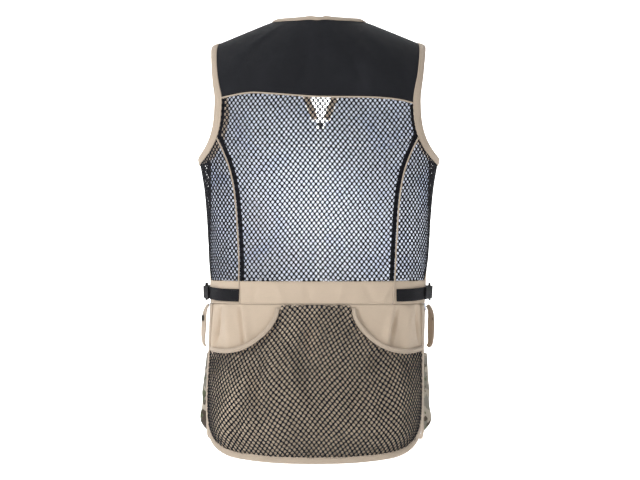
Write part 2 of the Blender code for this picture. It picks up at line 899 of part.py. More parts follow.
def build_side(seams, name):
    """The side net of one side and the princess piping before it."""
    sign = seams.sign
    top = armhole_curve(sign, seams.side_start, seams.side_end)
    left = princess_curve(sign, seams.side_start, seams.room)
    right = side_curve(sign, seams.side_end, -to_degrees(HALF_GAP))
    net = patch(top, straight(left(1), right(1)), left, right)
    place = lambda u, v: round_body(*net(u, v))
    sheet("back_net_side_" + name, place, even(SIDE_COLUMNS), even(SEAM_ROWS), NET, BLACK)

    start = armhole(ARMHOLE_SEAM, (seams.net_end + seams.side_start) / 2)[1]
    heights = [mix(start, WAIST_TOP, t) for t in even(SEAM_ROWS)]
    heights[0] -= 2 * PIPING_ROOM
    heights += [mix(WAIST_TOP, WAIST_BOTTOM, 0.5), WAIST_BOTTOM]
    points = [round_body(sign * row_value(PRINCESS_SEAM, z, 1), z) for z in heights]
    cord("princess_piping_" + name, points, PIPING_RADIUS, BEIGE)


def build_waistband(room):
    """The band at the waist, in three pieces between the princess and side seams."""
    rows = (WAIST_TOP - HALF_GAP, mix(WAIST_TOP, WAIST_BOTTOM, 0.5), WAIST_BOTTOM + HALF_GAP)

    def inner(height):
        return row_value(PRINCESS_SEAM, height, 1)

    def outer(height):
        return row_value(SIDE_SEAM, height, 1) - to_degrees(HALF_GAP)

    def middle(u, v):
        reach = inner(v) - room
        return round_body(mix(-reach, reach, u), v)

    sheet("waistband_center", middle, yoke_columns(), rows, BAND, BEIGE)
    for name, sign in SIDES:
        place = lambda u, v: round_body(sign * mix(inner(v) + room, outer(v), u), v)
        sheet("waistband_side_" + name, place, even(SIDE_COLUMNS), rows, BAND, BEIGE)


def tail_frame(start):
    """The side and bottom edges of a piece of the tail inside its binding."""

    def side(sign):
        return flipped(lambda t: tail_seam(mix(start, TAIL_CORNER, t), TAIL_GAP), sign)

    def bottom(u):
        share = mix(TAIL_CORNER, 1.0, 1 - abs(2 * u - 1))
        angle, height = tail_seam(share, TAIL_GAP)
        return math.copysign(angle, u - 0.5) if abs(u - 0.5) > TINY else 0.0, height

    return bottom, side(-1), side(1)


def tail_rows():
    share = TAIL_MOUTH / TAIL_CORNER
    return shared(TAIL_MOUTH_ROWS, TAIL_LOWER_ROWS, share)


def pouch_out(u, v):
    """How far the pouch's net stands off the base panel."""
    side = smooth(min(u, 1 - u) / POUCH_SIDE)
    foot = smooth((1 - v) / POUCH_FOOT)
    start, full = POUCH_MOUTHS
    stand = MOUTH_STAND * smooth((abs(u - 0.5) - start) / (full - start))
    return POUCH_LAY + side * foot * mix(stand, POUCH_DEPTH, smooth(v / POUCH_FULL))


def build_tail():
    """The base panel, the pouch's net over it, and the bindings of the tail."""
    bottom, right, left = tail_frame(0.0)
    height = WAIST_BOTTOM - HALF_GAP
    reach = left(0)[0]
    top = lambda u: (mix(-reach, reach, u), mix(height, left(0)[1], abs(2 * u - 1) ** 8))
    base = patch(top, bottom, right, left)
    columns = even(TAIL_COLUMNS)
    sheet("back_base", lambda u, v: round_body(*base(u, v)), columns, tail_rows(), CLOTH, BEIGE)

    bottom, right, left = tail_frame(TAIL_MOUTH)
    band = straight((-mouth(0)[0], mouth(0)[1]), mouth(0))
    right_mouth = flipped(lambda t: mouth(1 - t), -1)
    top = chained((right_mouth, MOUTH_SHARE), (band, 1 - 2 * MOUTH_SHARE), (mouth, MOUTH_SHARE))
    net = patch(top, bottom, right, left)
    place = lambda u, v: round_body(*net(u, v), pouch_out(u, v))
    sheet("pouch_net", place, columns, even(TAIL_LOWER_ROWS), NET, BLACK)

    for name, sign in SIDES:

        def edge(u, v):
            t = min(0.98, max(0.03, u))
            gap = mix(*MOUTH_GAP, smooth(t / 0.5))
            angle, height = inset(bare_round, round_place, mouth, t, -mix(gap, TAPE, v))
            out = pouch_out(1 - MOUTH_SHARE * (1 - t), 0.0) + MOUTH_PROUD
            return round_body(sign * angle, height, out)

        sheet("mouth_binding_" + name, edge, even(MOUTH_COLUMNS), (0, 1), MOUTH_THICK, BEIGE)

    shares = [TAIL_CORNER * v for v in tail_rows()]
    steps = TAIL_COLUMNS // 2
    shares += [mix(TAIL_CORNER, 1.0, i / steps) for i in range(1, steps + 1)]
    shares += [2 - share for share in shares[-2::-1]]

    def hem(u, v):
        sign, t = (1, u) if u <= 1 else (-1, 2 - u)
        angle, height = tail_seam(t, (v - 1) * TAPE)
        return round_body(sign * angle, height, HEM_PROUD)

    sheet("tail_binding", hem, shares, (0, 0.5, 1), HEM_THICK, BEIGE)


def build_front(seams, name):
    """One front with its yoke, its binding and its pocket."""
    sign = seams.sign
    centre = FRONT_CENTRE + HALF_GAP

    def seam(t_end, room):
        end = side_width(*armhole(ARMHOLE_SEAM, t_end, HALF_GAP))

        def at(u):
            across = mix(centre, end, u)
            return across, row_value(FRONT_YOKE_SEAM, across, 1) + room

        return at

    low = seam(seams.front_yoke_end, HALF_GAP)

    def yoke_bottom(u):
        across, height = low(u)
        return sign * across, -down_of(across, height)

    half = armhole_over(ARMHOLE_SEAM, 0.0, HALF_GAP)[0]
    yoke_top = straight((sign * (NECK_POINT[0] + HALF_GAP), -HALF_GAP), (sign * half, -HALF_GAP))

    def neck(t):
        across, down = neck_seam(NECK_SHOULDER * (1 - t))
        return sign * (across + HALF_GAP), min(down, -HALF_GAP)

    def arm(t):
        share = 1 - (1 - seams.front_yoke_end) * t**YOKE_BEND
        across, down = armhole_over(ARMHOLE_SEAM, share, HALF_GAP)
        return sign * across, min(down, -HALF_GAP)

    corner = (sign * centre, FRONT_TOP)
    inner = chained(
        (neck, 0.85), (straight(neck(1), corner), 0.05), (straight(corner, yoke_bottom(0)), 0.10)
    )
    yoke = patch(yoke_top, yoke_bottom, inner, arm)
    place = lambda u, v: over_body(*yoke(u, v))
    sheet("front_yoke_" + name, place, even(7), FRONT_YOKE_ROWS, CLOTH, BLACK)

    high = seam(seams.front_end, -HALF_GAP)

    def body_top(u):
        across, height = high(u)
        return sign * angle_of(across, height, front=True), height

    def body_centre(t):
        height = mix(high(0)[1], front_seam_edge(1.0, GAP)[1], t)
        return sign * angle_of(centre, height, front=True), height

    def band_end(t):
        height = mix(WAIST_TOP + HALF_GAP, WAIST_BOTTOM, t)
        return sign * (row_value(SIDE_SEAM, height, 1) + to_degrees(HALF_GAP)), height

    start = vent_start()
    counts = (FRONT_ARM_ROWS, SEAM_ROWS, 2, VENT_ROWS)
    total = sum(counts)
    pieces = (
        armhole_curve(sign, seams.front_end, seams.front_start),
        side_curve(sign, seams.front_start, to_degrees(HALF_GAP)),
        band_end,
        flipped(lambda t: front_seam_edge(mix(start, FRONT_CORNER, t), GAP), sign),
    )
    outer = chained(*((piece, count / total) for piece, count in zip(pieces, counts)))
    rows = even(total)
    vent = sum(counts[:3])
    rows[vent + 1 : vent + 1] = [vent / total + 0.0004, (vent + VENT_LEAD * VENT_ROWS) / total]

    def body_bottom(u):
        angle, height = front_seam_edge(mix(1.0, FRONT_CORNER, u), GAP)
        return sign * min(angle, abs(body_centre(1)[0])), height

    body = patch(body_top, body_bottom, body_centre, outer)
    place = lambda u, v: round_body(*body(u, v))
    sheet("front_body_" + name, place, even(FRONT_COLUMNS), rows, CLOTH, BEIGE)

    shares = [mix(start, FRONT_CORNER, share) for share in even(VENT_ROWS)]
    shares[0] = mix(start, FRONT_CORNER, VENT_LEAD)
    shares += [mix(FRONT_CORNER, 0.996, i / FRONT_COLUMNS) for i in range(1, FRONT_COLUMNS + 1)]

    def hem(u, v):
        angle, height = front_edge(u) if v == 0 else front_seam_edge(u)
        return round_body(sign * angle, height, TAPE_PROUD)

    sheet("front_binding_" + name, hem, shares, (0, 1), TAPE_THICK, BEIGE)

    def pocket(u, v):
        height = mix(POCKET_TOP, POCKET_BOTTOM, v)
        side = smooth(min(u, 1 - u) / POCKET_EASE)
        gape = POCKET_GAPE * smooth(1 - v / 0.5) * math.sin(math.pi * u)
        out = POCKET_LAY + side * (row_value(POCKET, height, 1) + gape)
        return round_body(sign * mix(*POCKET_SIDES, u), height, out)

    sheet("pocket_" + name, pocket, POCKET_COLUMNS, even(13), CLOTH, CAMO)


def build_bindings(seams, name):
    """The binding of one armhole."""
    stations = seams.stations()
    sign = seams.sign

    def rim(u, v):
        oval = ARMHOLE_EDGE if v == 0 else ARMHOLE_SEAM
        height = armhole(oval, u)[1]
        if height > -0.13:
            across, down = armhole_over(oval, u)
            return over_body(sign * across, down, TAPE_PROUD)
        angle, height = armhole_round(oval, u)
        return round_body(sign * angle, height, TAPE_PROUD)

    sheet("armhole_binding_" + name, rim, stations, (0, 1), TAPE_THICK, BEIGE, closed=True)


def build_neck():
    """The binding of the neck, from one side of the zip round to the other."""
    front = [NECK_SHOULDER * (1 - share) for share in NECK_ROWS[:0:-1]]
    back = [neck_share(NECK_POINT[0] * (1 - i / NECK_COLUMNS)) for i in range(NECK_COLUMNS)]
    half = front + back + [1.0]
    shares = half + [2 - share for share in half[-2::-1]]

    def rim(u, v):
        sign, t = (1, u) if u <= 1 else (-1, 2 - u)
        across, down = inset(bare_over, over_place, neck_seam, t, mix(HALF_GAP, TAPE, v))
        return over_body(sign * across, down, TAPE_PROUD)

    sheet("neck_binding", rim, shares, (0, 1), TAPE_THICK, BEIGE)


def build_strap(sign, name):
    """One side strap, its anchor on the front and the ring that joins them."""
    height = STRAP_HEIGHTS[0]

    def webbing(table):
        def place(u, v):
            depth, out = table[round(u * (len(table) - 1))]
            middle = mix(height, STRAP_HEIGHTS[1], smooth(depth / STRAP[0][0]))
            level = middle + (v - 0.5) * WEBBING
            return round_body(sign * angle_at_depth(depth, level), level, out)

        return place

    for label, table in (("strap_", STRAP), ("strap_anchor_", ANCHOR)):
        shares = even(len(table) - 1)
        sheet(label + name, webbing(table), shares, (0, 0.5, 1), WEBBING_THICK, BLACK, middle=True)

    long = BUCKLE_DEPTHS[0] - BUCKLE_DEPTHS[1]
    centre = sum(BUCKLE_DEPTHS) / 2
    side = round_body(sign * 90, height, BUCKLE_LAY)
    ring_mesh = block("buckle", (BUCKLE_THICK, long, BUCKLE_TALL))
    made = add("buckle_" + name, ring_mesh, BLACK, 0.4)
    made.location = (side.x, centre, height)
    edge = made.modifiers.new("edge", "BEVEL")
    edge.width, edge.segments = 0.0008, 2
    hole = (CUT, long - 2 * BUCKLE_BAR, WEBBING + 2 * BUCKLE_ROOM)
    window = block("buckle_window_" + name, hole, cutters)
    window.location = made.location
    combine(made, window, "DIFFERENCE")


def build_hang_loop(sign, name):
    """The tape loop below a strap, and its snap."""

    def place(u, v):
        height, out = HANG_LOOP[round(u * (len(HANG_LOOP) - 1))]
        return round_body(sign * angle_at_depth(mix(*HANG_DEPTHS, v), height), height, out)

    shares = even(len(HANG_LOOP) - 1)
    sheet("hang_loop_" + name, place, shares, (0, 0.5, 1), LOOP_TAPE, BEIGE, middle=True)

    bm = bmesh.new()
    bmesh.ops.create_cone(
        bm, cap_ends=True, segments=20, radius1=SNAP_RADIUS, radius2=SNAP_RADIUS * 0.86, depth=SNAP_THICK
    )
    mesh = bpy.data.meshes.new("snap")
    bm.to_mesh(mesh)
    bm.free()
    made = add("snap_" + name, mesh, BLACK, 0.35)
    depth = sum(HANG_DEPTHS) / 2
    angle = sign * angle_at_depth(depth, SNAP_HEIGHT)
    out = HANG_LOOP[10][1] + LOOP_TAPE / 2 + GAP + SNAP_THICK / 2
    made.location = round_body(angle, SNAP_HEIGHT, out)
    made.rotation_euler = (0.0, sign * math.pi / 2, 0.0)


def build_zip():
    """The closed zip: tapes, chain, slider with its staple, and the pull tab."""
    heights = [mix(ZIP_TOP, ZIP_BOTTOM, i / 16) for i in range(17)]
    inner = CHAIN_WIDTH / 2

    def strip_place(a, b, out):
        def place(u, v):
            across = mix(a, b, u)
            return over_body(across, -down_of(across, v), out)

        return place

    for name, sign in SIDES:
        place = strip_place(sign * (inner + GAP), sign * (FRONT_CENTRE - HALF_GAP), 0.0)
        sheet("zip_tape_" + name, place, (0, 1), heights, ZIP_TAPE_THICK, BLACK)
    sheet("zip_chain", strip_place(-inner, inner, CHAIN_PROUD), (0, 1), heights, CHAIN_THICK, BLACK)

    middle = over_body(0.0, -down_of(0.0, SLIDER_HEIGHT)).y - SLIDER_PROUD
    front = middle - SLIDER[1] / 2
    slider = add("zip_slider", block("slider", SLIDER), STEEL, 0.35, 1.0)
    slider.location = (0.0, middle, SLIDER_HEIGHT)
    pivot = SLIDER_HEIGHT + PIVOT_RISE
    outer = STAPLE_INNER[0] + STAPLE_BAR
    legs = STAPLE_INNER[1] + 2 * STAPLE_BAR
    staple = block("staple", (STAPLE_WIDTH, outer + STAPLE_SINK, legs), cutters)
    staple.location = (0.0, front - (outer - STAPLE_SINK) / 2, pivot)
    hollow = block("staple_hollow", (CUT, STAPLE_INNER[0], STAPLE_INNER[1]), cutters)
    hollow.location = (0.0, front - STAPLE_INNER[0] / 2, pivot)
    combine(staple, hollow, "DIFFERENCE")
    combine(slider, staple, "UNION")

    axis = bpy.data.objects.new("pull_axis", None)
    axis.location = (0.0, front - TAB_AXIS_OUT, pivot)
    vest.objects.link(axis)
    tab = add("pull_tab", block("tab", TAB), STEEL, 0.35, 1.0)
    tab.parent = axis
    tab.location = (0.0, 0.0, TAB[1] / 2 - TAB[2] / 2)
    window = block("tab_window", (TAB_WINDOW[0], CUT, TAB_WINDOW[1]), cutters)
    window.parent = axis
    window.location = (0.0, 0.0, -TAB[1] / 2 - TAB_WINDOW[1] / 2)
    combine(tab, window, "DIFFERENCE")


def build():
    left, right = Seams(1), Seams(-1)
    build_back(left, right)
    build_waistband(left.room)
    build_tail()
    for seams, name in ((left, "l"), (right, "r")):
        build_side(seams, name)
        build_front(seams, name)
        build_bindings(seams, name)
        build_strap(seams.sign, name)
        build_hang_loop(seams.sign, name)
    build_neck()
    build_zip()


for old in list(bpy.data.objects):
    bpy.data.objects.remove(old)
vest = bpy.data.collections.new("shooting_vest")
cutters = bpy.data.collections.new("cutters")
bpy.context.scene.collection.children.link(vest)
bpy.context.scene.collection.children.link(cutters)
build()
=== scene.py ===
"""Dresses a shooting vest: cloth panels, open nets, folded bindings, piping, straps and a zip.

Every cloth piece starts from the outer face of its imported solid. Panels are smoothed, creased and
given a wall again. Nets are knitted cell by cell on that face. Bindings, webbing and tapes are a
rounded profile drawn along the two edges of their solids.
"""

import math

import bmesh
import bpy
import numpy as np
from mathutils import Matrix, Vector
from mathutils.bvhtree import BVHTree


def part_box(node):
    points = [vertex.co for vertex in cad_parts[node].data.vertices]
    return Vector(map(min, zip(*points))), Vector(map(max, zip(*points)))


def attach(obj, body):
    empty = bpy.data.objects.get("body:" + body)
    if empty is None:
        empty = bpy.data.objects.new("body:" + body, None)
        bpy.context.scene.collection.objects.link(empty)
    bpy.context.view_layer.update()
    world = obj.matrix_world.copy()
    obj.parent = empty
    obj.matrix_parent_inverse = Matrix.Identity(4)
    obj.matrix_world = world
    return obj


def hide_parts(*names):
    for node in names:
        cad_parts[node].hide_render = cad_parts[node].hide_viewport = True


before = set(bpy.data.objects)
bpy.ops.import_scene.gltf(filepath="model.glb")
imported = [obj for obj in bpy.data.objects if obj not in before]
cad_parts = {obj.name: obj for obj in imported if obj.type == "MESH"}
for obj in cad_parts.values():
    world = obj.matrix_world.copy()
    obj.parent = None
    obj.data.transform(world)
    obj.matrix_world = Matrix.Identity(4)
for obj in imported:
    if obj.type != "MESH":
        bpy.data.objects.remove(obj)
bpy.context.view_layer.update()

bl_info = {
    "name": "Shooting Vest",
    "version": (1, 0, 0),
    "blender": (4, 5, 0),
    "location": "3D View > Sidebar > Vest",
    "description": "Dresses a shooting vest in its cloth, nets, bindings, straps and zip",
    "category": "Object",
}

BODY = "vest"
SIDES = (("l", 1), ("r", -1))
MERGE = 0.00002
SMOOTH_EDGE = math.radians(58)
SHARP_CORNER = math.radians(38)
TINY = 1e-9
# Walls of the cloth and the pockets, and the height at which the side nets' seams end.
CLOTH_WALL, POCKET_WALL, NET_FOOT = 0.0016, 0.0014, -0.400
# How deep the weave and the ribs are, and how much lighter the cloth behind the pouch's net is made, as painted light
# that makes up for the light the net holds off it.
WEAVE_DEPTH, RIB_DEPTH, PAINTED_LIGHT_SHARE = 0.00015, 0.00018, 1.42

# How far from a panel's and a net's edge its creases fade out.
CREASE_FADE, NET_FADE = 0.007, 0.012
# The nets: unevenness of the holes and its seed, how far the yarn rounds off, how round a hole is
# (its slanting corners, as a share), the most corners of a hole past the edge, and the face's
# reach from the body's rings.
WOBBLE, WOBBLE_SEED, YARN_RELIEF, HOLE_CORNER, MOST_LOST, RING_REACH = 0.00012, 11, 0.00018, 0.66, 6, 0.03
# The piping, the tapes and the webbing, and how far the strap and the hang loop reach and twist.
PIPING_RADIUS, CORD_SIDES = 0.0013, 10
WEBBING_THICK, ZIP_TAPE_THICK, CHAIN_TAPE_THICK, BAND_THICK = 0.0018, 0.0010, 0.0009, 0.0008
ZIP_TAPE_EDGE, CHAIN_DROP = 0.0002, 0.0010
STRAP_REACH, LOOP_TWIST = 0.0050, math.radians(-34)
# Doubled edges behind the seams: their reach in, their height (behind the face), their reach out.
SHOULDER_BAND, PRINCESS_BAND = (0.0066, -0.0012, 0.0), (0.0074, -0.0012, 0.0)
SIDE_BAND, ARMHOLE_BAND, WAIST_BAND = (0.0088, -0.0010, 0.0), (0.0030, -0.0012, 0.001), (0.003, -0.0017, 0.003)
# One zip tooth's size, and the distance from one to the next on the same side.
TOOTH, TOOTH_PITCH = (0.0034, 0.0016, 0.0012), 0.0021
# Stitches: distance from a panel's edge, from a binding's, and the height over the cloth.
EDGE_INSET, TAPE_INSET, THREAD_LIFT, TAPE_LIFT = 0.0020, 0.0022, 0.0001, -0.0004
# The rows at a pocket's top, and the square at a strap's end: its rows, and its span of the width.
POCKET_ROWS, BOX_ROWS, BOX_SPAN = (0.0030, 0.0055), 9, (0.12, 0.88)
# The stage: the floor's height, half its width, where it turns up and how widely, and its top.
FLOOR, STAGE_HALF, TURN_START, TURN_RADIUS, STAGE_TOP = -0.95, 14.0, -2.6, 1.4, 6.0
CAMERA_FAR, CAMERA_TURN, CAMERA_LENS, CAMERA_HEIGHT, CAMERA_AIM = 3.0, math.radians(181.5), 102.88, -0.3395, -0.002
LIGHTS = (  # name, place, aim, size and power
    ("key", (2.3, 2.1, 1.6), (0, 0, -0.35), 0.9, 72.0),
    ("fill", (-2.0, 3.0, 0.2), (0, 0, -0.35), 1.6, 14.0),
    ("front", (0.6, -2.6, 1.2), (0, 0, -0.3), 1.6, 3.0),
    ("top", (0.0, 0.3, 2.4), (0, 0, -0.2), 1.8, 5.0),
    ("backdrop", (0.0, -1.6, 1.6), (0, -4.0, 0.2), 3.0, 190.0),
    ("inside", (0.0, 0.055, -0.28), (0, -0.12, -0.28), 0.16, 0.34),
)

# The rings that the cloth lies on: height, half width, back depth, front depth, squareness, sway.
RINGS = (
    (-0.060, 0.206, 0.117, 0.120, 2.30, 0.0),
    (-0.130, 0.205, 0.124, 0.130, 2.30, 0.0),
    (-0.206, 0.197, 0.122, 0.134, 2.35, 0.0),
    (-0.250, 0.189, 0.117, 0.132, 2.40, 0.0),
    (-0.300, 0.184, 0.112, 0.129, 2.40, 0.0),
    (-0.350, 0.181, 0.109, 0.126, 2.40, 0.0),
    (-0.400, 0.178, 0.108, 0.123, 2.40, 0.001),
    (-0.450, 0.176, 0.110, 0.122, 2.40, 0.002),
    (-0.520, 0.1755, 0.115, 0.122, 2.40, 0.004),
    (-0.600, 0.1765, 0.120, 0.122, 2.40, 0.006),
    (-0.720, 0.1765, 0.123, 0.122, 2.40, 0.006),
)
RIDGE_DROP, SHOULDER_HEIGHT, SHOULDER_SLOPE, NECK_ROUNDING = 0.085, 0.0446, 0.41, 0.012
RING_STEP = 0.002

# Soft creases of the cloth, on each panel: place round the body and height, half length,
# half width, depth (under 0 is a trough), lean from upright in degrees.
CREASES = {
    "back_yoke": (
        (-0.060, 0.130, 0.050, 0.010, -0.0016, -24.0),
        (0.050, 0.135, 0.045, 0.011, 0.0014, 18.0),
        (-0.110, 0.110, 0.050, 0.012, -0.0018, -52.0),
        (0.115, 0.105, 0.050, 0.012, -0.0016, 50.0),
        (0.085, 0.070, 0.040, 0.008, 0.0012, 64.0),
        (-0.010, 0.115, 0.040, 0.009, -0.0014, -4.0),
        (0.075, 0.160, 0.040, 0.014, 0.0026, 8.0),
        (-0.085, 0.160, 0.045, 0.013, 0.0026, -10.0),
        (0.020, 0.160, 0.040, 0.012, -0.0022, 12.0),
    ),
    "waistband_center": (
        (-0.085, -0.424, 0.020, 0.007, -0.0020, 24.0),
        (-0.040, -0.420, 0.022, 0.006, 0.0017, -14.0),
        (0.012, -0.426, 0.024, 0.007, -0.0017, 8.0),
        (0.058, -0.421, 0.020, 0.006, 0.0017, 28.0),
        (0.100, -0.425, 0.022, 0.007, -0.0020, -20.0),
        (-0.112, -0.428, 0.018, 0.005, 0.0015, -30.0),
    ),
    "waistband_side_l": (
        (0.180, -0.423, 0.020, 0.008, -0.0020, 30.0),
        (0.215, -0.425, 0.020, 0.006, 0.0017, -12.0),
    ),
    "waistband_side_r": (
        (-0.176, -0.423, 0.020, 0.008, -0.0020, -26.0),
        (-0.212, -0.425, 0.020, 0.006, 0.0017, 16.0),
    ),
    "back_base": (
        (0.121, -0.478, 0.034, 0.0036, -0.0062, 9.0),
        (0.113, -0.480, 0.034, 0.0070, 0.0046, 9.0),
        (0.146, -0.482, 0.040, 0.0110, 0.0050, 2.0),
        (0.172, -0.476, 0.034, 0.0044, -0.0062, -12.0),
        (0.190, -0.482, 0.040, 0.0090, 0.0046, 4.0),
        (-0.128, -0.480, 0.034, 0.0038, -0.0058, -11.0),
        (-0.119, -0.482, 0.034, 0.0070, 0.0042, -11.0),
        (-0.156, -0.486, 0.040, 0.0110, 0.0046, -4.0),
        (-0.182, -0.474, 0.032, 0.0044, -0.0056, 14.0),
        (-0.200, -0.490, 0.036, 0.0080, 0.0040, -6.0),
        (0.006, -0.500, 0.034, 0.0090, -0.0072, 0.0),
        (0.096, -0.566, 0.052, 0.0100, -0.0072, 17.0),
        (-0.070, -0.600, 0.050, 0.0110, -0.0066, -20.0),
        (-0.128, -0.560, 0.040, 0.0100, -0.0060, -12.0),
    ),
    "front": (
        (0.330, -0.300, 0.090, 0.012, -0.0024, 18.0),
        (0.400, -0.340, 0.080, 0.012, 0.0020, -12.0),
        (0.290, -0.420, 0.060, 0.010, -0.0022, 62.0),
        (0.380, -0.460, 0.070, 0.012, -0.0020, 74.0),
        (0.420, -0.560, 0.060, 0.012, 0.0018, 10.0),
        (0.350, -0.230, 0.050, 0.012, 0.0018, -40.0),
    ),
    "front_yoke": (
        (0.080, 0.060, 0.040, 0.010, -0.0014, 40.0),
        (0.110, 0.120, 0.040, 0.010, 0.0012, -20.0),
    ),
    "back_net": (
        (-0.090, -0.290, 0.080, 0.016, -0.0016, 14.0),
        (0.070, -0.270, 0.080, 0.016, 0.0014, -10.0),
        (0.010, -0.350, 0.060, 0.014, -0.0012, 66.0),
    ),
    "pouch_net": (
        (-0.100, -0.560, 0.080, 0.010, -0.0046, 12.0),
        (-0.050, -0.540, 0.070, 0.012, 0.0050, -16.0),
        (0.010, -0.570, 0.090, 0.011, -0.0046, 22.0),
        (0.065, -0.560, 0.080, 0.012, 0.0050, 8.0),
        (0.110, -0.600, 0.060, 0.010, -0.0044, -20.0),
        (-0.010, -0.480, 0.030, 0.009, 0.0020, 35.0),
        (-0.060, -0.640, 0.060, 0.012, 0.0022, 70.0),
    ),
    "pocket": (
        (0.300, -0.560, 0.024, 0.006, -0.0014, 30.0),
        (0.345, -0.575, 0.022, 0.006, 0.0014, -26.0),
        (0.275, -0.600, 0.020, 0.005, -0.0012, 60.0),
        (0.320, -0.625, 0.024, 0.005, -0.0012, 80.0),
    ),
}


def length_property(name, description, default):
    return bpy.props.FloatProperty(name=name, description=description, default=default, unit="LENGTH")


class VestSizes(bpy.types.PropertyGroup):
    """Sizes that change how the vest is dressed"""

    net_across: length_property("Net pitch across", "Distance between holes in one row", 0.0076)
    net_down: length_property("Net pitch down", "Distance between holes in one column", 0.0094)
    hole_width: length_property("Hole width", "Width of one hole of the net", 0.0046)
    hole_height: length_property("Hole height", "Height of one hole of the net", 0.0052)
    yarn: length_property("Yarn", "Thickness of the knitted net", 0.0008)
    stitch: length_property("Stitch", "Length of one visible stitch", 0.0024)
    stitch_pitch: length_property("Stitch pitch", "Distance from one stitch to the next", 0.0033)
    thread: length_property("Thread", "Radius of the sewing thread", 0.00026)
    folds: bpy.props.FloatProperty(
        name="Creases", description="Depth of the soft creases, as a share", default=1.0, min=0.0, max=2.0
    )


def colour_property(name, description, default):
    return bpy.props.FloatVectorProperty(
        name=name, description=description, default=default, size=3, min=0.0, max=1.0, subtype="COLOR"
    )


class VestColours(bpy.types.PropertyGroup):
    """Colours of the cloths and trims"""

    yoke: colour_property("Yoke", "Black cloth of the shoulders", (0.0150, 0.0158, 0.0195))
    panel: colour_property("Panel", "Beige cloth of the waist, tail and fronts", (0.640, 0.520, 0.400))
    tape: colour_property("Binding", "Beige tape of the edges", (0.550, 0.452, 0.355))
    net: colour_property("Net", "Yarn of the nets", (0.0060, 0.0065, 0.0105))
    lining: colour_property("Inside", "Pale inner face of the fronts", (0.800, 0.850, 0.960))
    webbing: colour_property("Webbing", "Black webbing of the straps", (0.0085, 0.0085, 0.0110))
    sand: colour_property("Blotch ground", "Ground colour of the blotched cloth", (0.420, 0.370, 0.300))
    grey: colour_property("Blotch grey", "Grey blotches", (0.210, 0.200, 0.165))
    brown: colour_property("Blotch brown", "Dark brown blotches", (0.060, 0.042, 0.028))
    green: colour_property("Blotch green", "Dull green blotches", (0.085, 0.100, 0.050))


def sizes():
    return bpy.context.scene.vest_sizes


def colours():
    return bpy.context.scene.vest_colours


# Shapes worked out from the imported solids.


def unit(vectors):
    """Vectors at a length of one."""
    return vectors / (np.linalg.norm(vectors, axis=-1, keepdims=True) + TINY)


def distances(points):
    """How far along a line each of its points lies."""
    return np.concatenate([[0], np.cumsum(np.linalg.norm(np.diff(points, axis=0), axis=1))])


def hermite(t, width, first, last, start, end):
    """A smooth curve between two values, with its slopes at both ends."""
    return (
        (2 * t**3 - 3 * t**2 + 1) * first
        + (t**3 - 2 * t**2 + t) * width * start
        + (3 * t**2 - 2 * t**3) * last
        + (t**3 - t**2) * width * end
    )


def mirrored(table, sign):
    """A crease table for the left side, or turned round for the right."""
    return [(sign * row[0], *row[1:5], sign * row[5]) for row in table]


def box_of(node):
    """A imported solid's lowest corner, its highest and its middle."""
    low, high = (np.array(corner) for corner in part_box(node))
    return low, high, (low + high) / 2


def read_table(table, at, column):
    """A table's column at a place of its first column, smoothly between its rows."""
    rows = sorted(table)
    at = min(max(at, rows[0][0]), rows[-1][0])
    i = min(len(rows) - 2, sum(1 for row in rows[1:-1] if row[0] <= at))
    x0, x1 = rows[i][0], rows[i + 1][0]
    y0, y1 = rows[i][column], rows[i + 1][column]
    width = x1 - x0
    before = after = (y1 - y0) / width
    if i > 0:
        before = (y1 - rows[i - 1][column]) / (x1 - rows[i - 1][0])
    if i + 2 < len(rows):
        after = (rows[i + 2][column] - y0) / (rows[i + 2][0] - x0)
    return hermite((at - x0) / width, width, y0, y1, before, after)


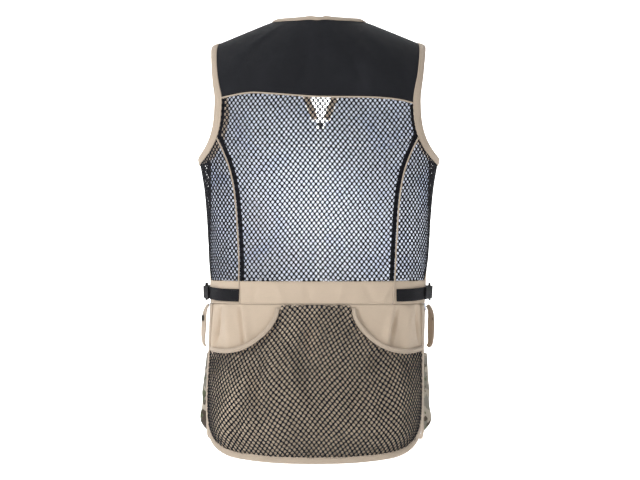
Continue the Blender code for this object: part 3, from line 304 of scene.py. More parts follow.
class FlatBody:
    """The body's rings unrolled: distance round from the middle of the back, and height."""

    def __init__(self):
        self.heights = np.linspace(-0.72, -0.06, 133)
        self.count = 300
        steps = np.arange(self.count) * RING_STEP
        angles = np.radians(np.arange(0, 180.25, 0.5))
        s, c = np.sin(angles), np.cos(angles)
        self.table = np.zeros((len(self.heights), self.count, 2))
        self.sway = np.zeros(len(self.heights))
        for i, height in enumerate(self.heights):
            half, back, front, square, self.sway[i] = [read_table(RINGS, height, k) for k in range(1, 6)]
            x = half * np.abs(s) ** (2 / square)
            y = np.where(c > 0, back, front) * np.sign(c) * np.abs(c) ** (2 / square)
            way = distances(np.column_stack([x, y]))
            spare = np.maximum(steps - way[-1], 0)
            self.table[i, :, 0] = np.interp(steps, way, x) - spare
            self.table[i, :, 1] = np.interp(steps, way, y)

    def ring(self, heights):
        at = np.clip((heights - self.heights[0]) / (self.heights[1] - self.heights[0]), 0, len(self.heights) - 1.001)
        i = at.astype(int)
        return i, at - i

    def place(self, around, heights):
        """Points of the rings and their level outward normals."""
        i, f = self.ring(heights)
        at = np.clip(np.abs(around) / RING_STEP, 0, self.count - 2.001)
        k = at.astype(int)
        g = (at - k)[:, None]
        f = f[:, None]
        low = self.table[i, k] * (1 - f) + self.table[i + 1, k] * f
        high = self.table[i, k + 1] * (1 - f) + self.table[i + 1, k + 1] * f
        xy = low * (1 - g) + high * g
        along = unit(high - low)
        sign = np.where(around < 0, -1.0, 1.0)
        sway = self.sway[i] * (1 - f[:, 0]) + self.sway[i + 1] * f[:, 0]
        points = np.column_stack([xy[:, 0] * sign + sway, xy[:, 1], heights])
        normals = np.column_stack([-along[:, 1] * sign, along[:, 0], np.zeros(len(heights))])
        return points, normals

    def unroll(self, points):
        """Distance round and height of points near the rings."""
        i, f = self.ring(points[:, 2])
        f2 = f[:, None, None]
        rings = self.table[i] * (1 - f2) + self.table[i + 1] * f2
        x = points[:, 0] - (self.sway[i] * (1 - f) + self.sway[i + 1] * f)
        flat = np.column_stack([np.abs(x), points[:, 1]])
        gaps = np.linalg.norm(rings - flat[:, None, :], axis=2)
        k = np.clip(gaps.argmin(axis=1), 1, self.count - 2)
        rows = np.arange(len(points))
        along = rings[rows, k + 1] - rings[rows, k - 1]
        reach = np.linalg.norm(along, axis=1) + TINY
        extra = ((flat - rings[rows, k]) * along).sum(axis=1) / reach
        extra = np.clip(extra, -RING_STEP, RING_STEP)
        around = np.maximum(0, k * RING_STEP + extra) * np.where(x < 0, -1, 1)
        return np.column_stack([around, points[:, 2]])


def over_shoulder(points):
    """Distance across and down from the shoulder line, for the yokes."""
    peak = SHOULDER_HEIGHT + SHOULDER_SLOPE * NECK_ROUNDING
    ridge = peak - SHOULDER_SLOPE * np.hypot(points[:, 0], NECK_ROUNDING)
    drop = np.maximum(ridge - points[:, 2], 0)
    turned = np.arccos(np.clip(1 - drop / RIDGE_DROP, 0, 1)) * RIDGE_DROP
    down = turned + np.maximum(drop - RIDGE_DROP, 0)
    return np.column_stack([points[:, 0], down])


def outward(point):
    """The way out of the body at a point: level below the shoulders, and upwards over them."""
    return Vector((point[0], point[1], max(0.0, point[2] + 0.10)))


def outer_face(node):
    """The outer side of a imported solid's wall, as an open mesh with its triangles paired."""
    bm = bmesh.new()
    bm.from_mesh(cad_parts[node].data)
    bmesh.ops.remove_doubles(bm, verts=bm.verts, dist=MERGE)
    bm.normal_update()
    left, best = set(bm.faces), None
    while left:
        found = [left.pop()]
        for face in found:
            for edge in face.edges:
                if len(edge.link_faces) == 2 and edge.calc_face_angle(math.pi) < SMOOTH_EDGE:
                    for other in edge.link_faces:
                        if other in left:
                            left.remove(other)
                            found.append(other)
        facing = sum(f.calc_area() * f.normal.dot(outward(f.calc_center_median()).normalized()) for f in found)
        if best is None or facing > best[0]:
            best = (facing, found)
    outer = {vert for face in best[1] for vert in face.verts}
    rest = [face for face in bm.faces if not all(vert in outer for vert in face.verts)]
    bmesh.ops.delete(bm, geom=rest, context="FACES")
    bmesh.ops.join_triangles(
        bm, faces=bm.faces, angle_face_threshold=math.radians(60), angle_shape_threshold=math.radians(60)
    )
    bm.normal_update()
    return bm


def edge_loops(bm):
    """The ordered loops of vertices along the open edges of a mesh."""
    following = {}
    for edge in bm.edges:
        if len(edge.link_loops) == 1:
            loop = edge.link_loops[0]
            following[loop.vert] = loop.link_loop_next.vert
    loops = []
    while following:
        start = next(iter(following))
        chain = [start]
        while chain[-1] in following:
            after = following.pop(chain[-1])
            if after is start:
                break
            chain.append(after)
        loops.append(chain)
    return loops


def is_corner(chain, i, turning):
    """Whether an edge loop turns sharply at one of its vertices."""
    before, at, after = chain[i - 1].co, chain[i].co, chain[(i + 1) % len(chain)].co
    return (at - before).angle(after - at, 0.0) > turning


def edge_sides(bm, turning=None):
    """The sides of an open mesh: its edge loop cut at its corners, as lists of vertices."""
    (chain,) = edge_loops(bm)
    if turning is None:
        corners = [i for i, v in enumerate(chain) if len(v.link_edges) == 2]
    else:
        corners = [i for i in range(len(chain)) if is_corner(chain, i, turning)]
    sides = []
    for a, b in zip(corners, corners[1:] + [corners[0] + len(chain)]):
        sides.append([chain[i % len(chain)] for i in range(a, b + 1)])
    return sides


def two_edges(node):
    """The two long edges of a strip in step with each other, with the strip's normals."""
    bm = outer_face(node)
    loops = edge_loops(bm)
    closed = len(loops) == 2
    if closed:
        first, others = loops[0], set(loops[1])
        second = [next(e.other_vert(v) for e in v.link_edges if e.other_vert(v) in others) for v in first]
    else:
        sides = sorted(edge_sides(bm), key=len)
        first, second = sides[-1], sides[-2][::-1]
    if len(first) != len(second):
        raise RuntimeError(f"{node}: its edges have {len(first)} and {len(second)} points")
    rows = [(*a.co, *b.co, *(a.normal + b.normal).normalized()) for a, b in zip(first, second)]
    bm.free()
    return np.array(rows), closed


def smoothed(rows, step, closed):
    """Rows of values along a line, read smoothly at even steps of its length."""
    if closed:
        rows = np.vstack([rows, rows[:1]])
    middle = (rows[:, :3] + rows[:, 3:6]) / 2 if rows.shape[1] >= 6 else rows[:, :3]
    gaps = np.maximum(np.linalg.norm(np.diff(middle, axis=0), axis=1), 1e-6)
    way = np.concatenate([[0], np.cumsum(gaps)])
    slopes = np.diff(rows, axis=0) / gaps[:, None]
    if closed:
        around = np.vstack([slopes[-1:], slopes, slopes[:1]])
        weights = np.concatenate([gaps[-1:], gaps, gaps[:1]])
    else:
        around = np.vstack([slopes[:1], slopes, slopes[-1:]])
        weights = np.concatenate([gaps[:1], gaps, gaps[-1:]])
    before, after = weights[:-1, None], weights[1:, None]
    tangents = (around[:-1] * after + around[1:] * before) / (before + after)
    count = max(2, round(way[-1] / step))
    at = np.linspace(0, way[-1], count + 1)
    i = np.clip(np.searchsorted(way, at, side="right") - 1, 0, len(gaps) - 1)
    t = ((at - way[i]) / gaps[i])[:, None]
    width = gaps[i][:, None]
    read = hermite(t, width, rows[i], rows[i + 1], tangents[i], tangents[i + 1])
    return (read[:-1] if closed else read), at


BODY_FLAT = FlatBody()


def make_piece(name, vertices, faces, uvs=None):
    """A new mesh object; uvs gives one place for each corner of each face."""
    mesh = bpy.data.meshes.new(name)
    mesh.from_pydata([tuple(map(float, v)) for v in vertices], [], [tuple(map(int, f)) for f in faces])
    if uvs is not None:
        layer = mesh.uv_layers.new(name="cloth")
        layer.data.foreach_set("uv", np.asarray(uvs, np.float32).reshape(-1))
    mesh.shade_smooth()
    piece = bpy.data.objects.new(name, mesh)
    bpy.context.scene.collection.objects.link(piece)
    return piece


def dress(piece, look, body=BODY, nodes=()):
    """Gives a piece its material, its body and the solids that it stands for."""
    if not piece.data.materials:
        piece.data.materials.append(look)
    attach(piece, body)
    if nodes:
        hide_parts(*nodes)
    return piece


def apply_modifier(piece, kind, **settings):
    """Adds a modifier and applies it."""
    bpy.ops.object.select_all(action="DESELECT")
    bpy.context.view_layer.objects.active = piece
    piece.select_set(True)
    modifier = piece.modifiers.new(kind.lower(), kind)
    for key, value in settings.items():
        setattr(modifier, key, value)
    bpy.ops.object.modifier_apply(modifier=modifier.name)
    piece.select_set(False)


def coordinates(mesh):
    points = np.zeros(len(mesh.vertices) * 3)
    mesh.vertices.foreach_get("co", points)
    return points.reshape(-1, 3)


def corner_vertices(mesh):
    index = np.zeros(len(mesh.loops), int)
    mesh.loops.foreach_get("vertex_index", index)
    return index


def smooth_face(node, levels):
    """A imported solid's outer face as a smooth open sheet."""
    bm = outer_face(node)
    pinned = bm.verts.layers.float.new("crease_vert")
    for chain in edge_loops(bm):
        for i, vertex in enumerate(chain):
            vertex[pinned] = 1.0 if is_corner(chain, i, SHARP_CORNER) else 0.0
    mesh = bpy.data.meshes.new(node + "_face")
    bm.to_mesh(mesh)
    bm.free()
    piece = bpy.data.objects.new(node + "_face", mesh)
    bpy.context.scene.collection.objects.link(piece)
    if levels:
        apply_modifier(piece, "SUBSURF", levels=levels, render_levels=levels, boundary_smooth="PRESERVE_CORNERS")
    return piece


def crease_depth(flat, table):
    """How far each flat point moves out for the soft creases of its panel."""
    shift = np.zeros(len(flat))
    for place, height, length, width, depth, lean in table:
        across, down = flat[:, 0] - place, flat[:, 1] - height
        turn = math.radians(lean)
        along = (down * math.cos(turn) + across * math.sin(turn)) / length
        aside = (across * math.cos(turn) - down * math.sin(turn)) / width
        ragged = 1 + 0.25 * np.sin(along * 3.1 + place * 90)
        shift += depth * ragged * np.exp(-(along**2) - aside**2)
    return shift


def crease(mesh, flat, table, share):
    """Moves a sheet's points along their normals by its soft creases, which fade out at its edges."""
    points = coordinates(mesh)
    bm = bmesh.new()
    bm.from_mesh(mesh)
    bm.verts.index_update()
    border = flat[[v.index for v in max(edge_loops(bm), key=len)][::2]]
    bm.free()
    gap = np.linalg.norm(onto_outline(flat, border) - flat, axis=1)
    share = share * np.clip(gap / CREASE_FADE, 0, 1)
    normals = np.zeros(len(points) * 3)
    mesh.vertices.foreach_get("normal", normals)
    points += normals.reshape(-1, 3) * (crease_depth(flat, table) * share)[:, None]
    mesh.vertices.foreach_set("co", points.reshape(-1))
    mesh.update()


FACES = {}


class Face:
    """A finished panel's outer face, kept so that seams can be sewn along its sides."""

    def __init__(self, piece):
        bm = bmesh.new()
        bm.from_mesh(piece.data)
        bm.normal_update()
        self.tree = BVHTree.FromBMesh(bm)
        self.sides = [np.array([v.co for v in side]) for side in edge_sides(bm, SHARP_CORNER)]
        self.centre = np.mean([v.co for v in bm.verts], axis=0)
        bm.free()

    def side(self, axis, sign):
        """The side that lies furthest along an axis."""
        return max(self.sides, key=lambda side: sign * side[:, axis].mean())

    def tallest(self, sign):
        """The side that spans the most height, left or right of the middle."""
        return max((s for s in self.sides if sign * s[:, 0].mean() > 0.05), key=lambda s: np.ptp(s[:, 2]))

    def on_face(self, points, lift):
        """The nearest points of the face, lifted off it, and their normals."""
        placed, normals = [], []
        for point in points:
            near, normal, _, _ = self.tree.find_nearest(Vector(point))
            placed.append(near + normal * lift)
            normals.append(normal)
        return np.array(placed), np.array(normals)

    def inside(self, line, inset):
        """A line along an edge, moved in over the face."""
        _, normals = self.on_face(line, 0)
        along = np.gradient(line, axis=0)
        aside = unit(np.cross(normals, along))
        if ((self.centre - line) * aside).sum() < 0:
            aside = -aside
        return line + aside * inset


def panel(node, look, slot, table, levels=3, wall=CLOTH_WALL, over=False, inside=None):
    """A cloth panel: the smooth outer face, creased, with its flat map and its wall."""
    piece = smooth_face(node, levels)
    piece.name = piece.data.name = node + "_cloth"
    points = coordinates(piece.data)
    flat = over_shoulder(points) if over else BODY_FLAT.unroll(points)
    crease(piece.data, flat, table, sizes().folds)
    layer = piece.data.uv_layers.new(name="cloth")
    layer.data.foreach_set("uv", flat[corner_vertices(piece.data)].astype(np.float32).reshape(-1))
    piece.data.shade_smooth()
    FACES[node] = Face(piece)
    piece.data.materials.append(look)
    settings = {"thickness": wall, "offset": -1.0}
    if inside is not None:
        piece.data.materials.append(inside)
        settings["material_offset"] = 1
    apply_modifier(piece, "SOLIDIFY", **settings)
    return dress(piece, look, nodes=[node])


def face_outwards(piece):
    """Turns a closed skin's faces outwards, and shades it smooth."""
    bm = bmesh.new()
    bm.from_mesh(piece.data)
    if bm.calc_volume(signed=True) < 0:
        bmesh.ops.reverse_faces(bm, faces=bm.faces)
        bm.to_mesh(piece.data)
    bm.free()
    piece.data.shade_smooth()
    return piece


def skin(name, points, way, girth, ends, closed=False):
    """A skin over rings of points, with its length and girth as its map. It is closed at its ends,
    which have a girth of their own, or else runs round."""
    count, size = points.shape[:2]
    faces, uvs = [], []
    for i in range(count if closed else count - 1):
        j = (i + 1) % count
        for k in range(size):
            m = (k + 1) % size
            faces.append((i * size + k, i * size + m, j * size + m, j * size + k))
            uvs += [(way[i], girth[k]), (way[i], girth[k + 1]), (way[i + 1], girth[k + 1]), (way[i + 1], girth[k])]
    if not closed:
        for i, order in ((0, range(size - 1, -1, -1)), (count - 1, range(size))):
            faces.append([i * size + k for k in order])
            uvs += [(way[i], ends[k]) for k in order]
    return face_outwards(make_piece(name, points.reshape(-1, 3), faces, uvs))


def loft(name, rows, way, profile, closed):
    """A strip with a rounded profile, drawn along two edges. The profile is in distances from
    the second edge towards the first and out of the face, for a strip of a given width."""
    a, b, n = rows[:, :3], rows[:, 3:6], unit(rows[:, 6:9])
    width = np.linalg.norm(a - b, axis=1)
    shape = np.array(profile(float(width.mean())))
    scale = (width / width.mean())[:, None, None]
    points = b[:, None] + unit(a - b)[:, None] * shape[None, :, :1] * scale + n[:, None] * shape[None, :, 1:]
    girth = distances(np.vstack([shape, shape[:1]]))
    return skin(name, points, way, girth, girth, closed)


def tube(name, path, radius):
    """A round cord along a path, closed at both ends."""
    along = unit(np.gradient(path, axis=0))
    aside = unit(np.cross(along, path - np.array([0, 0, -0.25])))
    up = np.cross(aside, along)
    turns = np.linspace(0, 2 * np.pi, CORD_SIDES, endpoint=False)
    ring = aside[:, None] * np.cos(turns)[None, :, None] + up[:, None] * np.sin(turns)[None, :, None]
    girth = np.linspace(0, 2 * math.pi * radius, CORD_SIDES + 1)
    return skin(name, path[:, None] + ring * radius, distances(path), girth, np.zeros(CORD_SIDES))


def middle_line(node, axis):
    """The middle line of a packed cord, from the rings of its points along an axis."""
    points = coordinates(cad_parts[node].data)
    points = points[np.argsort(points[:, axis])]
    cuts = np.where(np.diff(points[:, axis]) > 0.0012)[0] + 1
    rings = [ring for ring in np.split(points, cuts) if len(ring) > 3]
    line = np.array([(ring.min(axis=0) + ring.max(axis=0)) / 2 for ring in rings])
    smooth, _ = smoothed(line, 0.004, False)
    return smooth


# Stitches.


def sewn(name, rows, look):
    """Rows of stitches as one piece. Each row is points and normals; a stitch is a short thread
    that dips into the cloth at both ends."""
    pitch, length, radius = sizes().stitch_pitch, sizes().stitch, sizes().thread
    stations = ((0.0, 0.25, -0.7), (0.16, 0.85, 0.25), (0.5, 1.0, 0.7), (0.84, 0.85, 0.25), (1.0, 0.25, -0.7))
    vertices, faces = [], []
    for points, normals in rows:
        way = distances(points)
        for start in np.arange(pitch / 2, way[-1] - length, pitch):
            first = len(vertices)
            at = np.array([start + share * length for share, _, _ in stations])
            line = np.column_stack([np.interp(at, way, points[:, k]) for k in range(3)])
            up = unit(np.column_stack([np.interp(at, way, normals[:, k]) for k in range(3)]))
            aside = np.cross(unit(line[-1] - line[0]), up)
            for i, (_, thick, lift) in enumerate(stations):
                centre = line[i] + up[i] * lift * radius
                for a, b in ((1, 0), (0, 1), (-1, 0), (0, -1)):
                    vertices.append(centre + (aside[i] * a + up[i] * b) * radius * thick)
            for i in range(4):
                for k in range(4):
                    m = (k + 1) % 4
                    q, r = first + i * 4, first + (i + 1) * 4
                    faces.append((q + k, r + k, r + m, q + m))
            faces.append([first + k for k in range(4)])
            faces.append([first + 16 + k for k in (3, 2, 1, 0)])
    return dress(face_outwards(make_piece(name, vertices, faces)), look)


# Nets.


def inside_outline(points, outline):
    """Which flat points lie inside a flat outline."""
    found = np.zeros(len(points), bool)
    x, y = points[:, 0], points[:, 1]
    for (x0, y0), (x1, y1) in zip(outline, np.roll(outline, -1, axis=0)):
        if abs(y1 - y0) < TINY:
            continue
        crosses = (y0 > y) != (y1 > y)
        found ^= crosses & (x < (x1 - x0) * (y - y0) / (y1 - y0) + x0)
    return found


def onto_outline(points, outline):
    """The nearest places on a flat outline."""
    start, step = outline, np.roll(outline, -1, axis=0) - outline
    along = ((points[:, None] - start[None]) * step[None]).sum(axis=2) / ((step**2).sum(axis=1)[None] + TINY)
    near = start[None] + np.clip(along, 0, 1)[:, :, None] * step[None]
    best = np.linalg.norm(near - points[:, None], axis=2).argmin(axis=1)
    return near[np.arange(len(points)), best]


def drifted(flat, reach):
    """The knitting's rows pulled a little out of true, as they hang in wear."""
    around, height = flat[:, 0], flat[:, 1]
    aside = reach * np.sin(height * 31.0 + around * 9.0)
    upright = reach * np.sin(around * 37.0 + 1.3)
    return flat + np.column_stack([aside, upright])


def knit(node, table=(), drift=0.0025, wide=1.0):
    """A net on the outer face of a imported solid: rows of rounded holes, half a hole apart, that
    run on to the seams and are wider or narrower as the net is stretched."""
    options = sizes()
    skin = smooth_face(node, 2)
    bm = bmesh.new()
    bm.from_mesh(skin.data)
    bm.normal_update()
    tree = BVHTree.FromBMesh(bm)
    border = np.array([v.co for v in edge_loops(bm)[0]])
    bm.free()
    FACES[node] = Face(skin)
    bpy.data.objects.remove(skin)
    outline = BODY_FLAT.unroll(border)
    across, down = options.net_across / 4, options.net_down / 4
    low, high = outline.min(axis=0), outline.max(axis=0)
    centres = []
    for b in range(math.floor(low[1] / down / 2) - 4, math.ceil(high[1] / down / 2) + 5):
        for a in range(math.floor(low[0] / across / 2) - 4, math.ceil(high[0] / across / 2) + 5):
            if (a + b) % 2 == 0:
                centres.append((2 * a, 2 * b))
    centres = np.array(centres)
    around = np.array([(2, 0), (1, 1), (0, 2), (-1, 1), (-2, 0), (-1, -1), (0, -2), (1, -1)])
    keys = (centres[:, None] + around[None]).reshape(-1, 2)
    unique, index = np.unique(keys, axis=0, return_inverse=True)
    index = index.reshape(-1, 8)
    corners = drifted(unique * np.array([across, down]), drift)
    kept = inside_outline(corners, outline)[index].sum(axis=1) >= 2
    centres, index = centres[kept], index[kept]
    used, index = np.unique(index, return_inverse=True)
    index = index.reshape(-1, 8)
    corners = corners[used]
    half = np.array([options.hole_width / 2, options.hole_height / 2]) * wide
    ring = around / np.where(np.abs(around).min(axis=1) > 0, 1 / HOLE_CORNER, 2.0)[:, None]
    wobble = np.random.default_rng(WOBBLE_SEED).normal(0, WOBBLE, (len(centres), 1, 2))
    holes = (centres[:, None] * np.array([across, down]) + ring[None] * half + wobble).reshape(-1, 2)
    holes = drifted(holes, drift)
    flat = np.vstack([corners, holes])
    outside = ~inside_outline(flat, outline)
    lost = outside[len(corners) :].reshape(-1, 8).sum(axis=1)
    flat[outside] = onto_outline(flat[outside], outline)
    gap = np.linalg.norm(onto_outline(flat, outline) - flat, axis=1)
    points, normals = BODY_FLAT.place(flat[:, 0], flat[:, 1])
    facing = normals.copy()
    for i, (point, normal) in enumerate(zip(points, normals)):
        hit, turned, _, _ = tree.ray_cast(Vector(point + normal * RING_REACH), Vector(-normal), 2 * RING_REACH)
        if hit is None:
            hit, turned, _, _ = tree.find_nearest(Vector(point))
        points[i] = hit
        facing[i] = turned
    raised = np.where(np.arange(len(flat)) < len(corners), YARN_RELIEF, -YARN_RELIEF)
    shift = raised + crease_depth(flat, table) * options.folds * np.clip(gap / NET_FADE, 0, 1)
    points += facing * shift[:, None]
    faces, places = [], []
    base = len(corners)
    for c, cell in enumerate(index):
        hole = base + c * 8
        for k in range(8):
            m = (k + 1) % 8
            faces.append((cell[k], cell[m], hole + m, hole + k))
            places += [flat[v] for v in faces[-1]]
        if lost[c] > MOST_LOST:
            faces.append([hole + k for k in range(8)])
            places += [flat[v] for v in faces[-1]]
    piece = make_piece(node + "_knit", points, faces, places)
    bm = bmesh.new()
    bm.from_mesh(piece.data)
    bmesh.ops.dissolve_degenerate(bm, edges=bm.edges, dist=0.00005)
    bmesh.ops.delete(bm, geom=[f for f in bm.faces if f.calc_area() < 1e-9], context="FACES")
    bm.normal_update()
    turned = sum(f.normal.dot(outward(f.calc_center_median())) for f in bm.faces)
    if turned < 0:
        bmesh.ops.reverse_faces(bm, faces=bm.faces)
    bm.to_mesh(piece.data)
    bm.free()
    piece.data.shade_smooth()
    apply_modifier(piece, "SOLIDIFY", thickness=options.yarn, offset=-1.0)
    return dress(piece, LOOKS["net"], nodes=[node])


# Bindings, webbing and hardware.


def folded_tape(width):
    """A tape folded over an edge: the outer face, sewn down near its inner edge, and the fold."""
    return (
        (0.0002, -0.0010), (0.0008, -0.0001), (0.0016, 0.0000), (0.0022, -0.0004), (0.0030, 0.0001),
        (0.0046, 0.0004), (width - 0.0024, 0.0003), (width - 0.0009, -0.0004), (width, -0.0017),
        (width - 0.0009, -0.0030), (width - 0.0024, -0.0035), (0.0046, -0.0035), (0.0030, -0.0032),
        (0.0022, -0.0028), (0.0012, -0.0031), (0.0003, -0.0026),
    )


def flat_tape(thickness, edge=0.0004):
    """A flat tape or webbing with its woven edges rounded."""

    def profile(width):
        middle, near, far = -thickness / 2, edge * 0.35, edge * 1.6
        front, back = middle * 0.25, middle * 1.75
        return (
            (0.0, middle), (near, front), (far, 0.0), (width * 0.3, 0.0), (width * 0.5, 0.0), (width * 0.7, 0.0),
            (width - far, 0.0), (width - near, front), (width, middle), (width - near, back),
            (width - far, -thickness), (width * 0.5, -thickness), (far, -thickness), (near, back),
        )

    return profile


RAILS = {}


def strip(
    node, name, profile, look, free_from=None, nearer=False, step=0.004, lap=0.0, proud=0.0, twist=0.0, reach=0.0
):
    """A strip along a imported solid: the free edge is the one further from (or nearer to) a point.
    It may lap further over the cloth, stand proud of its edge, twist, or reach past its last end."""
    rows, closed = two_edges(node)
    if free_from is not None:
        first = np.linalg.norm(rows[:, :3] - free_from, axis=1).mean()
        second = np.linalg.norm(rows[:, 3:6] - free_from, axis=1).mean()
        if (first < second) != nearer:
            rows = np.hstack([rows[:, 3:6], rows[:, :3], rows[:, 6:9]])
    if reach:
        last = rows[-1].copy()
        ahead = unit(last[:3] - rows[-2][:3]) * reach
        last[:3] += ahead
        last[3:6] += ahead
        rows = np.vstack([rows, last])
    rows, way = smoothed(rows, step, closed)
    across = unit(rows[:, 3:6] - rows[:, :3])
    rows[:, 3:6] += across * lap
    rows[:, :3] -= across * proud
    if twist:
        turn_rows(rows, twist)
    RAILS[node] = rows, closed
    piece = loft(name, rows, way, profile, closed)
    return dress(piece, look, nodes=[node])


def turn_rows(rows, twist):
    """Turns a strip about its own middle line, most of all halfway along."""
    middle = (rows[:, :3] + rows[:, 3:6]) / 2
    along = np.gradient(middle, axis=0)
    for i, row in enumerate(rows):
        share = 0.45 + 0.55 * math.sin(math.pi * i / (len(rows) - 1))
        turn = Matrix.Rotation(twist * share, 3, Vector(along[i]))
        for start in (0, 3):
            row[start : start + 3] = middle[i] + np.array(turn @ Vector(row[start : start + 3] - middle[i]))
        row[6:9] = np.array(turn @ Vector(row[6:9]))


def seam_rows(node, inset, lift):
    """Where a row of stitches runs along a strip: a distance from its inner edge."""
    rows, closed = RAILS[node]
    if closed:
        rows = np.vstack([rows, rows[:1]])
    a, b, n = rows[:, :3], rows[:, 3:6], unit(rows[:, 6:9])
    return b + unit(a - b) * inset + n * lift, n


def band_behind(name, line, node, band, look, slot):
    """A doubled edge of cloth behind a seam: it reaches over the panel, and past its edge."""
    reach, lift, over = band
    face = FACES[node]
    line, way = smoothed(line, 0.005, False)
    _, normals = face.on_face(line, 0)
    outer = face.inside(line, -over) + normals * lift
    inner, _ = face.on_face(face.inside(line, reach), lift)
    piece = loft(name, np.hstack([inner, outer, normals]), way, flat_tape(BAND_THICK), False)
    return dress(piece, look)


# Materials.


class Graph:
    """A node tree with short ways to add and join its nodes."""

    def __init__(self, tree):
        self.tree = tree

    def add(self, kind, inputs=None, **settings):
        node = self.tree.nodes.new(kind)
        for key, value in settings.items():
            setattr(node, key, value)
        for key, value in (inputs or {}).items():
            self.put(node.inputs[key], value)
        return node

    def put(self, socket, value):
        if isinstance(value, bpy.types.NodeSocket):
            self.tree.links.new(value, socket)
        elif isinstance(value, (tuple, list)) and len(value) == 3 and socket.type == "RGBA":
            socket.default_value = (*value, 1.0)
        else:
            socket.default_value = value

    def maths(self, operation, *values):
        node = self.add("ShaderNodeMath", operation=operation)
        for i, value in enumerate(values):
            self.put(node.inputs[i], value)
        return node.outputs[0]

    def vectors(self, operation, *values):
        node = self.add("ShaderNodeVectorMath", operation=operation)
        for i, value in enumerate(values):
            self.put(node.inputs[i], value)
        return node.outputs[0]

    def scaled(self, vector, scale):
        return self.vectors("MULTIPLY", vector, scale)

    def moved(self, vector, way):
        return self.vectors("ADD", vector, way)

    def split(self, vector):
        return self.add("ShaderNodeSeparateXYZ", {"Vector": vector}).outputs

    def noise(self, vector, scale, detail=2.0, rough=0.5, distortion=0.0):
        inputs = {"Vector": vector, "Scale": scale, "Detail": detail, "Roughness": rough, "Distortion": distortion}
        return self.add("ShaderNodeTexNoise", inputs).outputs["Fac"]

    def ramp(self, value, low, high, first=0.0, last=1.0):
        inputs = {"Value": value, "From Min": low, "From Max": high, "To Min": first, "To Max": last}
        return self.add("ShaderNodeMapRange", inputs, interpolation_type="SMOOTHSTEP").outputs["Result"]

    def mix(self, share, first, second, blend="MIX"):
        node = self.add("ShaderNodeMix", data_type="RGBA", blend_type=blend, clamp_factor=True)
        self.put(node.inputs["Factor"], share)
        for key, value in (("A", first), ("B", second)):
            socket = next(s for s in node.inputs if s.name == key and s.type == "RGBA")
            self.put(socket, value)
        return next(s for s in node.outputs if s.type == "RGBA")


def shader_group(name, inputs, outputs, build):
    """A shader node group with named sockets."""
    if name in bpy.data.node_groups:
        return bpy.data.node_groups[name]
    tree = bpy.data.node_groups.new(name, "ShaderNodeTree")
    for label, kind, value in inputs:
        socket = tree.interface.new_socket(label, in_out="INPUT", socket_type=kind)
        if value is not None:
            socket.default_value = value
    for label, kind in outputs:
        tree.interface.new_socket(label, in_out="OUTPUT", socket_type=kind)
    graph = Graph(tree)
    start, end = graph.add("NodeGroupInput"), graph.add("NodeGroupOutput")
    build(graph, start.outputs, end.inputs)
    return tree


FLOAT, VECTOR, COLOUR = "NodeSocketFloat", "NodeSocketVector", "NodeSocketColor"


def weave_group():
    """Plain weave: threads that pass over and under each other, with slubs in the yarn."""

    def build(g, given, made):
        u, v, _ = g.split(given["Vector"])
        waves = []
        for value in (u, v):
            turn = g.maths("MULTIPLY", g.maths("DIVIDE", value, given["Thread"]), math.pi)
            waves.append(g.maths("SINE", turn))
        warp, weft = (g.maths("ABSOLUTE", wave) for wave in waves)
        share = g.ramp(g.maths("MULTIPLY", *waves), -0.25, 0.25)
        under = g.maths("MULTIPLY", weft, g.maths("SUBTRACT", 1.0, share))
        height = g.maths("ADD", g.maths("MULTIPLY", warp, share), under)
        slub = g.noise(g.scaled(given["Vector"], (60.0, 900.0, 1.0)), 1.0, 2.0)
        g.put(made["Height"], g.maths("ADD", height, g.maths("MULTIPLY", slub, given["Slub"])))

    inputs = [("Vector", VECTOR, None), ("Thread", FLOAT, 0.0005), ("Slub", FLOAT, 0.4)]
    return shader_group("plain_weave", inputs, [("Height", FLOAT)], build)


def ribbed_group():
    """Narrow tape: ribs across its length, with a woven edge."""

    def build(g, given, made):
        u, v, _ = g.split(given["Vector"])
        along = g.maths("MULTIPLY", g.maths("DIVIDE", u, given["Rib"]), math.pi)
        aside = g.maths("MULTIPLY", g.maths("DIVIDE", v, g.maths("MULTIPLY", given["Rib"], 1.7)), math.pi)
        bent = g.maths("ADD", along, g.maths("MULTIPLY", g.maths("SINE", aside), 0.6))
        rib = g.maths("ABSOLUTE", g.maths("SINE", bent))
        yarn = g.noise(g.scaled(given["Vector"], (2600.0, 500.0, 1.0)), 1.0, 2.0)
        g.put(made["Height"], g.maths("ADD", rib, g.maths("MULTIPLY", yarn, 0.5)))

    inputs = [("Vector", VECTOR, None), ("Rib", FLOAT, 0.0007)]
    return shader_group("ribbed_tape", inputs, [("Height", FLOAT)], build)


